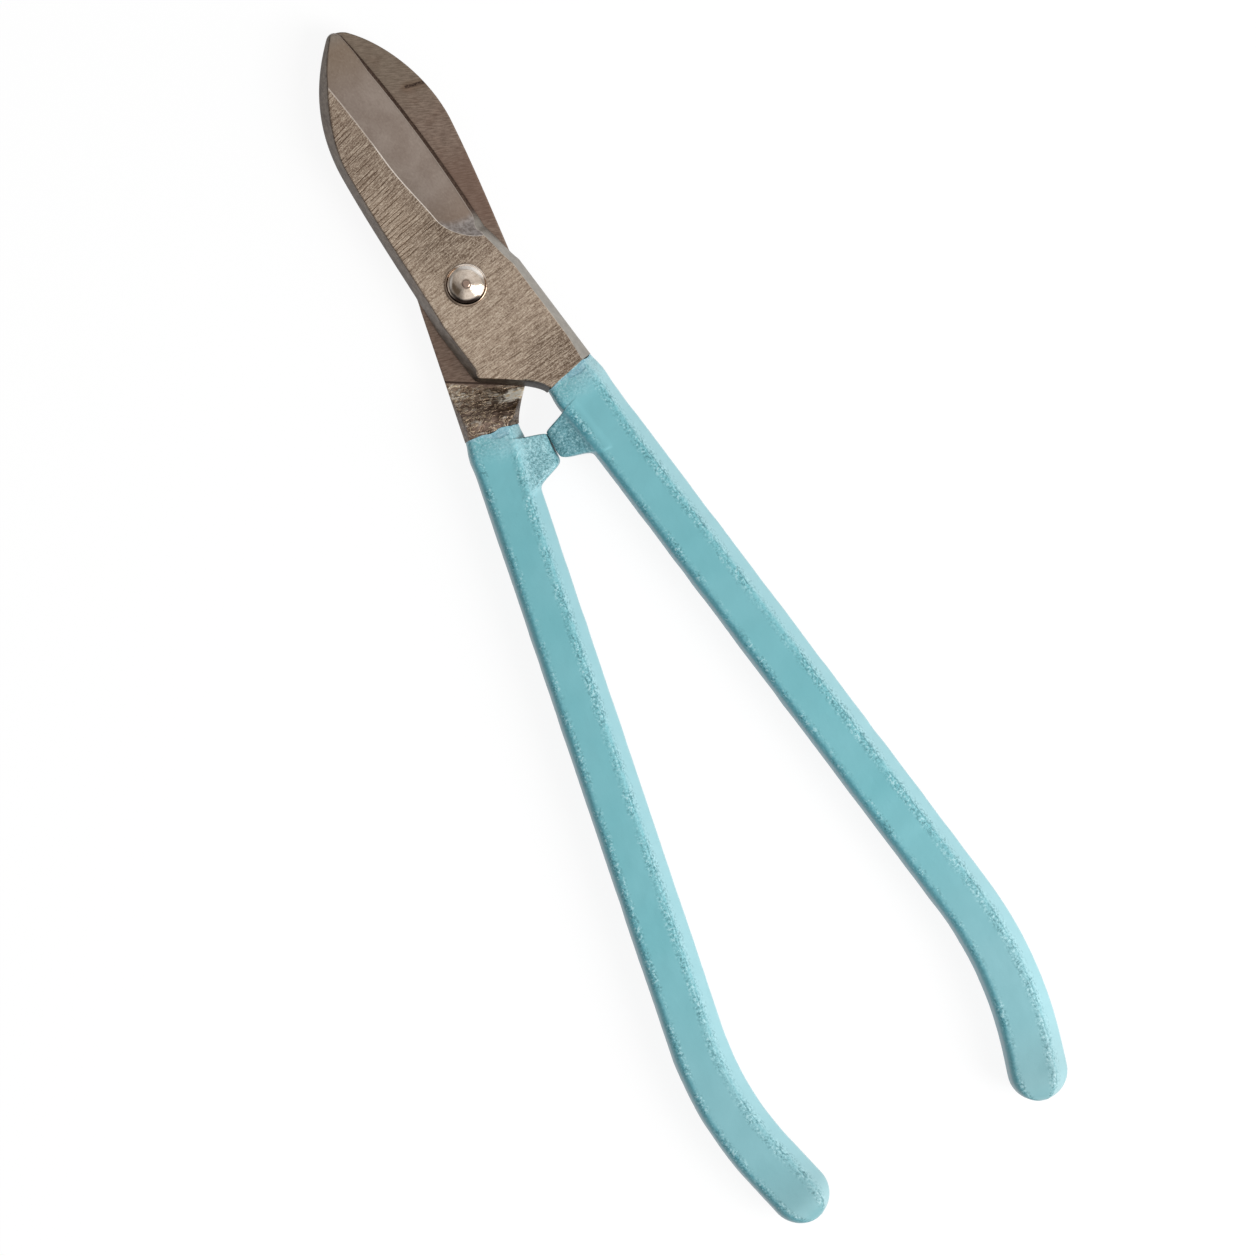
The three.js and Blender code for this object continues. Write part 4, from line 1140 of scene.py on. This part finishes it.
def forged_steel():
    """The forgings' steel: the ground face, and over it the bevel, the inner face, the ramp and the sides,
    each where the mesh's marks say, then pale lines along their borders that are painted highlights, dark
    ones that are painted shade, and the nick."""
    f = Finish("forged_steel")
    grain, along = f.attribute("grain", True), f.level(f.place)
    gap, lean, run, right, foot = (f.attribute(n) for n in ("gap", "lean", "run", "right", "foot"))
    inner, ramp, start, glint, nick = (f.attribute(n) for n in ("inner", "ramp", "start", "glint", "nick"))
    bevel, band = f.spread(gap, -0.01, 0.03), f.spread(lean, -0.03, 0.04)
    # The keen side from the heel up, which takes a painted dark reflection.
    edge_side = f.times(f.spread(right, 0.45, 0.6), f.spread(along, 6.6, 9.6))
    grit = f.noise(f.place, 5.6, 2, 0.6)
    ground, fine, hair, scores = ground_face(f, grain, along, gap, grit)
    satin, scoured = satin_bevel(f, along)
    sides, skin = forged_sides(f, along, right, foot, edge_side)
    scale, bright, crawl, worms, furrow = ramp_scale(f, grain, glint)

    colour = f.mix(bevel, ground, satin)
    colour = f.mix(f.times(f.spread(run, -0.7, 0.15), bevel), colour, scoured)
    # A painted highlight along the bevel's ridge, stronger on the right.
    crest_highlight = f.times(f.lines(gap, 0.04, 0.0), f.spread(right, 0.0, 0.1, 0.5, 1.0))
    colour = f.mix(f.times(crest_highlight, 0.7), colour, CREST_HIGHLIGHT)
    colour = f.mix(inner, colour, inner_face(f, grain, along, grit))
    colour = f.mix(ramp, colour, scale)
    colour = f.mix(f.times(f.lines(start, 0.22, 0.05), 0.9), colour, RAMP_LINE)
    colour = f.mix(f.times(band, f.calc("SUBTRACT", 1.0, ramp)), colour, sides)
    colour = f.darken(f.times(band, f.times(ramp, 0.75)), colour, (0.45, 0.38, 0.32))
    # Dark lines along the side borders away from the right and the foot: painted shade.
    border = f.times(f.lines(lean, 0.14, -0.02), f.calc("SUBTRACT", 1.0, f.calc("MAXIMUM", right, foot)))
    colour = f.darken(f.times(border, 0.7), colour, (0.42, 0.36, 0.33))
    # A painted highlight along the keen side's border.
    keen_highlight = f.times(f.lines(lean, 0.07, -0.05), edge_side)
    colour = f.mix(f.times(keen_highlight, 0.6), colour, KEEN_HIGHLIGHT)
    # A painted highlight along the arrises of the right sides, broken up at random.
    highlight_breaks = f.spread(f.noise(f.place, 1.3, 3, 0.6), 0.35, 0.65, 0.25, 0.9)
    arris_highlight = f.times(f.times(f.lines(lean, 0.07, 0.0), f.calc("SUBTRACT", right, edge_side)), highlight_breaks)
    colour = f.mix(f.times(arris_highlight, f.spread(along, 7, 5, 0.6, 0.95)), colour, ARRIS_HIGHLIGHT)
    pits = f.spread(f.noise(f.place, 4.5, 3, 0.7), 0.36, 0.58, 0.4, 1.0)
    colour = f.darken(f.times(f.spread(nick, 1.1, 0.2), 0.5), colour, (0.72, 0.6, 0.5))
    colour = f.mix(f.times(f.spread(nick, 0.36, 0.1), pits), colour, NICK_BROWN)

    gloss = f.calc("MULTIPLY_ADD", fine, 0.14, 0.34)
    gloss = f.calc("MULTIPLY_ADD", f.calc("MAXIMUM", band, ramp), 0.05, gloss)
    height = f.calc("MULTIPLY_ADD", scores, -0.8, f.calc("MULTIPLY_ADD", hair, 0.45, fine))
    others = f.calc("MAXIMUM", f.calc("MAXIMUM", band, bevel), f.calc("MAXIMUM", inner, ramp))
    normal = f.bump(height, f.spread(others, 0, 1, 0.3, 0.05), 0.06)
    beaten = f.calc("MULTIPLY_ADD", worms, 0.35, f.calc("ADD", crawl, furrow))
    normal = f.bump(beaten, f.times(ramp, f.spread(glint, 0.3, 0.9, 0.7, 0.25)), 0.3, normal)
    normal = f.bump(skin, f.times(band, 0.4), 0.12, normal)
    # Lower metallic on the left sides is part of their painted shade: it makes them render darker.
    away = f.times(band, f.spread(right, 0.6, 0.1, 0.0, 0.5))
    # Metallic falls to nothing under the ramp's painted highlight, so that it shows white.
    metal = f.calc("SUBTRACT", f.calc("MULTIPLY_ADD", f.times(bright, ramp), -0.82, 0.82), away)
    return f.finish(colour, gloss, normal, Metallic=metal)


def dipped_plastic():
    """Teal dip coat: satin on the flats, with a painted highlight on the broad slopes, painted shade on the
    narrow ones, a painted reflection in grey on the uprights beyond them and a painted shadow on the lug, and
    speckled with an orange peel along the ridges, over the lug and behind the lip, where a thinner film
    shows."""
    f = Finish("dipped_plastic")
    place, level = f.place, f.level(f.place)
    broad, narrow, mouth, lug, shade = (f.attribute(n) for n in ("broad", "narrow", "mouth", "lug", "shade"))
    peel = f.noise(place, 1.5, 3, 0.62)
    speck = f.noise(place, 2.9, 2, 0.6)
    grit = f.noise(place, 4.6, 2, 0.6)
    cloud = f.noise(place, 0.1, 2, 0.5)
    drift = f.noise(place, 0.32, 2, 0.5)
    waver = f.calc("MULTIPLY_ADD", peel, 0.7, -0.35)
    off_ridge = f.calc("ADD", broad, waver)
    off_narrow = f.calc("ADD", narrow, waver)
    ridge = f.times(f.lines(off_ridge, 1.25, -0.1), f.spread(drift, 0.35, 0.6, 0.4, 1.0))
    inner_ridge = f.times(f.lines(off_narrow, 0.9, -0.2), f.spread(drift, 0.42, 0.62, 0.25, 1.0))
    lip = f.spread(f.calc("MULTIPLY_ADD", drift, 3.0, mouth), 1.8, 6.5, 1.0, 0.0)
    worked = f.calc("MAXIMUM", lug, f.times(lip, 0.7))
    worked = f.calc("MAXIMUM", f.calc("MAXIMUM", ridge, inner_ridge), worked)

    colour = f.mix(f.spread(cloud, 0.3, 0.7), COAT_DEEP, COAT_PALE)
    colour = f.mix(f.times(f.spread(level, -92, -122), 0.1), colour, COAT_END)
    colour = f.mix(f.times(lip, f.spread(broad, -5, -0.3, 0.1, 0.8)), colour, LIP_PALE)
    # A painted highlight on the broad slopes.
    broad_highlight = f.times(f.spread(off_ridge, -0.15, 0.6), f.spread(drift, 0.2, 0.8, 0.85, 1.0))
    colour = f.mix(broad_highlight, colour, BROAD_HIGHLIGHT)
    # Painted shade on the narrow slopes, and beyond them, on the uprights, a painted reflection in grey.
    slope = f.spread(off_narrow, -0.6, 0.15)
    side = f.spread(off_narrow, 0.45, 0.75)
    colour = f.mix(f.times(slope, f.spread(drift, 0.3, 0.7, 0.8, 1.0)), colour, NARROW_SHADE)
    colour = f.mix(f.times(side, 0.75), colour, UPRIGHT_REFLECTION)
    # A painted shadow on the lug, from the handle beside it, deeper on the front half.
    colour = f.mix(f.times(shade, 0.8), colour, LUG_SHADOW)
    drip = f.times(f.spread(broad, -4.5, -1.0), f.spread(broad, 0.1, -0.5))
    film = f.calc("MULTIPLY_ADD", drip, -0.9, f.calc("MULTIPLY_ADD", waver, 0.7, mouth))
    colour = f.mix(f.spread(film, 0.22, 0.32, 0.75, 0.0), colour, FILM_THIN)
    colour = f.mix(f.times(f.lines(film, 0.13, 0.3), f.times(drip, 0.6)), colour, FILM_EDGE)
    light = f.times(worked, f.spread(speck, 0.54, 0.64))
    colour = f.mix(f.times(light, f.calc("MULTIPLY_ADD", shade, -0.2, 0.75)), colour, SPECK_PALE)
    dark = f.times(worked, f.spread(f.calc("ADD", speck, f.times(grit, 0.5)), 0.73, 0.6))
    colour = f.mix(f.times(dark, f.calc("MULTIPLY_ADD", lip, -0.35, 0.7)), colour, SPECK_DEEP)
    crawl = f.lines(f.noise(place, 1.2, 2.5, 0.6, 1.8), 0.035)
    colour = f.mix(f.times(lug, f.times(crawl, 0.6)), colour, CRAWL_DEEP)
    colour = f.mix(f.times(f.times(lip, 0.3), crawl), colour, CRAWL_PALE)
    crease = f.times(f.lines(off_ridge, 0.12, 0.1), f.spread(drift, 0.42, 0.56))
    colour = f.mix(f.times(crease, 0.5), colour, CREASE_DEEP)
    colour = f.darken(f.times(f.spread(level, -125, -136), 0.9), colour, (0.9, 0.84, 0.83))

    gloss = f.calc("MULTIPLY_ADD", worked, 0.06, f.calc("MULTIPLY_ADD", peel, 0.1, 0.34))
    normal = f.bump(peel, f.calc("MULTIPLY_ADD", worked, 0.45, 0.08), 0.14)
    normal = f.bump(speck, f.calc("MULTIPLY_ADD", worked, 0.5, 0.02), 0.09, normal)
    return f.finish(colour, gloss, normal, Metallic=0.0, Specular_IOR_Level=0.6)


def polished_rivet():
    """Bright domed steel with fine scuffs, a brown pip in a dark line, a painted dark reflection to the
    picture's left, a black painted shade in the crease under the dome's lower side, a duller rim, and painted
    highlights at the top and the left."""
    f = Finish("polished_rivet")
    radius, rim = f.attribute("radius"), HEAD_RADIUS - HEAD_RIM
    haze = f.noise(f.place, 0.9, 3, 0.6)
    colour = f.mix(f.spread(haze, 0.3, 0.72), RIVET_DEEP, RIVET_PALE)
    scuff = f.lines(f.noise(f.place, 1.6, 3, 0.6, 0.8), 0.05)
    colour = f.darken(f.times(scuff, 0.3), colour, (0.6, 0.54, 0.5))
    colour = f.mix(f.times(f.spread(radius, 0.8, 0.4), 0.8), colour, PIP_BROWN)
    colour = f.darken(f.times(f.lines(radius, 0.16, PIP_RADIUS + 0.04), 0.55), colour, LINE_TINT)
    # A painted dark reflection on the dome, to the picture's left.
    rivet_dark_reflection = f.spread(f.calc("MULTIPLY_ADD", haze, 2.2, f.toward(250)), 1.7, 2.7)
    rivet_dark_reflection = f.times(rivet_dark_reflection, f.spread(radius, 2.25, 1.85))
    colour = f.mix(f.times(rivet_dark_reflection, 0.9), colour, DARK_REFLECTION_BROWN)
    # A black painted shade in the crease under the dome, on the picture's lower side.
    crease = f.times(f.lines(radius, 0.5, rim - 0.22), f.spread(f.toward(182), 0.9, 2.1))
    colour = f.mix(f.times(crease, 0.96), colour, CREASE_SHADE_BLACK)
    colour = f.darken(f.spread(radius, rim, HEAD_RADIUS - 0.2), colour, (0.6, 0.53, 0.48))
    # A dark painted shade line round the rim's foot, to the picture's lower side.
    foot = f.times(f.lines(radius, 0.14, rim + 0.02), f.spread(f.toward(205), -0.6, 1.6))
    colour = f.darken(foot, colour, LINE_TINT)
    # Painted highlights near the rim at the top and on the left, where the metallic is lowered so that they
    # show white.
    top = f.times(f.lines(radius, 0.55, 2.46), f.spread(f.toward(20), 1.5, 2.25))
    left = f.times(f.lines(radius, 0.3, 2.1), f.spread(f.toward(276), 1.75, 2.1, 0.0, 0.6))
    rivet_highlight = f.calc("MAXIMUM", top, left)
    colour = f.mix(rivet_highlight, colour, HIGHLIGHT_WHITE)
    gloss = f.calc("MULTIPLY_ADD", haze, 0.12, 0.1)
    normal = f.bump(haze, 0.3, 0.12)
    return f.finish(colour, gloss, normal, Metallic=f.calc("MULTIPLY_ADD", rivet_highlight, -0.8, 1.0))


# Studio

def camera_sees(tree):
    """1 for rays from the camera, from gloss or through glass, and 0 for the rest."""
    path = tree.nodes.new("ShaderNodeLightPath")
    total = path.outputs["Is Camera Ray"]
    for name in ("Is Glossy Ray", "Is Transmission Ray"):
        add = tree.nodes.new("ShaderNodeMath")
        add.operation = "MAXIMUM"
        tree.links.new(total, add.inputs[0])
        tree.links.new(path.outputs[name], add.inputs[1])
        total = add.outputs[0]
    return total


def build_floor():
    """A pale floor that is nearly white to the camera and still takes the shadow."""
    h = FLOOR_SIZE / 2
    mesh = bpy.data.meshes.new("floor")
    mesh.from_pydata([(-h, -h, 0), (h, -h, 0), (h, h, 0), (-h, h, 0)], [], [(0, 1, 2, 3)])
    floor = bpy.data.objects.new("floor", mesh)
    bpy.context.scene.collection.objects.link(floor)
    material = bpy.data.materials.new("pale_floor")
    material.use_nodes = True
    tree = material.node_tree
    tree.nodes.clear()
    matte = tree.nodes.new("ShaderNodeBsdfDiffuse")
    matte.inputs["Color"].default_value = (FLOOR_SHADE,) * 3 + (1,)
    glow = tree.nodes.new("ShaderNodeEmission")
    glow.inputs["Color"].default_value = (1, 1, 1, 1)
    dim = tree.nodes.new("ShaderNodeBsdfDiffuse")
    dim.inputs["Color"].default_value = (FLOOR_DIM,) * 3 + (1,)
    glow.inputs["Strength"].default_value = FLOOR_GLOW
    lit = tree.nodes.new("ShaderNodeAddShader")
    tree.links.new(glow.outputs[0], lit.inputs[0])
    tree.links.new(dim.outputs[0], lit.inputs[1])
    choose = tree.nodes.new("ShaderNodeMixShader")
    tree.links.new(camera_sees(tree), choose.inputs[0])
    tree.links.new(matte.outputs[0], choose.inputs[1])
    tree.links.new(lit.outputs[0], choose.inputs[2])
    out = tree.nodes.new("ShaderNodeOutputMaterial")
    tree.links.new(choose.outputs[0], out.inputs[0])
    mesh.materials.append(material)


def build_world():
    """Even soft light. The camera sees it white. Gloss sees a studio of soft cards: each adds its light by
    the dot product of the direction and its own, from nothing at its outer reach to all of it at its inner
    one. A card with a light below nought darkens what gloss sees."""
    world = bpy.data.worlds.new("studio")
    bpy.context.scene.world = world
    world.use_nodes = True
    tree = world.node_tree
    tree.nodes.clear()

    def node(kind, **settings):
        made = tree.nodes.new("ShaderNode" + kind)
        for key, value in settings.items():
            setattr(made, key, value)
        return made

    direction, path, seen = node("TexCoord"), node("LightPath"), node("Mix", data_type="FLOAT")
    total = None
    for bearing, height, inner, outer, light in GLOSS_CARDS:
        dot = node("VectorMath", operation="DOT_PRODUCT")
        card = node("MapRange", interpolation_type="SMOOTHSTEP")
        tree.links.new(direction.outputs["Generated"], dot.inputs[0])
        dot.inputs[1].default_value = way(bearing, height)
        tree.links.new(dot.outputs["Value"], card.inputs[0])
        card.inputs[1].default_value = math.cos(math.radians(outer))
        card.inputs[2].default_value = math.cos(math.radians(inner))
        card.inputs[4].default_value = light
        add = node("Math", operation="ADD")
        add.inputs[1].default_value = GLOSS_LEVEL
        if total is not None:
            tree.links.new(total, add.inputs[1])
        tree.links.new(card.outputs[0], add.inputs[0])
        total = add.outputs[0]
    tree.links.new(path.outputs["Is Camera Ray"], seen.inputs["Factor"])
    tree.links.new(total, seen.inputs[2])
    seen.inputs[3].default_value = 1.0
    soft, white = node("Background"), node("Background")
    choose, out = node("MixShader"), node("OutputWorld")
    soft.inputs["Strength"].default_value = WORLD_LIGHT
    tree.links.new(seen.outputs[0], white.inputs["Strength"])
    tree.links.new(camera_sees(tree), choose.inputs[0])
    tree.links.new(soft.outputs[0], choose.inputs[1])
    tree.links.new(white.outputs[0], choose.inputs[2])
    tree.links.new(choose.outputs[0], out.inputs[0])


def picture_axes():
    """The picture's right and up in the frame: +X and +Y turned back by the lean."""
    c, s = math.cos(PICTURE_TURN), math.sin(PICTURE_TURN)
    return Vector((c, -s, 0)), Vector((s, c, 0))


def way(bearing, height):
    """The direction at a bearing clockwise from the picture's up and at a height above the floor."""
    right, up = picture_axes()
    a, e = math.radians(bearing), math.radians(height)
    return (right * math.sin(a) + up * math.cos(a)) * math.cos(e) + Vector((0, 0, 1)) * math.sin(e)


def build_lamp(name, bearing, height, distance, size, power):
    """A square soft box that looks at the picture's centre."""
    out = way(bearing, height)
    lamp = bpy.data.lights.new(name, "AREA")
    lamp.shape = "SQUARE"
    lamp.size = size
    lamp.energy = power
    made = bpy.data.objects.new(name, lamp)
    made.location = PICTURE_CENTRE + out * distance
    made.rotation_mode = "QUATERNION"
    made.rotation_quaternion = (-out).to_track_quat("-Z", "Y")
    made.visible_camera = False
    bpy.context.scene.collection.objects.link(made)


def build_camera():
    """Straight above the picture's centre, turned so that the blades point up and to the left."""
    lens = bpy.data.cameras.new("camera")
    lens.lens, lens.sensor_width = LENS, SENSOR
    lens.clip_start, lens.clip_end = CLIP
    made = bpy.data.objects.new("camera", lens)
    made.location = PICTURE_CENTRE + Vector((0, 0, PICTURE_WIDTH * LENS / SENSOR))
    made.rotation_mode = "QUATERNION"
    made.rotation_quaternion = Matrix.Rotation(-PICTURE_TURN, 3, "Z").to_quaternion()
    bpy.context.scene.collection.objects.link(made)
    bpy.context.scene.camera = made


bpy.context.scene.view_settings.view_transform = "Standard"
build_camera()
build_world()
build_floor()
for lamp in LAMPS:
    build_lamp(*lamp)

steel, plastic, bright = forged_steel(), dipped_plastic(), polished_rivet()

for body, half_sizes, over in (("front", FRONT, False), ("back", BACK, True)):
    forging = build_half(body + "_forging", half_sizes, over, steel)
    coat = build_coat(body + "_dip", half_sizes, over, plastic)
    for piece, node in ((forging, body + "_half"), (coat, body + "_coat")):
        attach(piece, body)
        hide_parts(node)

rivet = build_rivet("domed_rivet", bright)
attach(rivet, "back")
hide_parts("pivot_rivet")
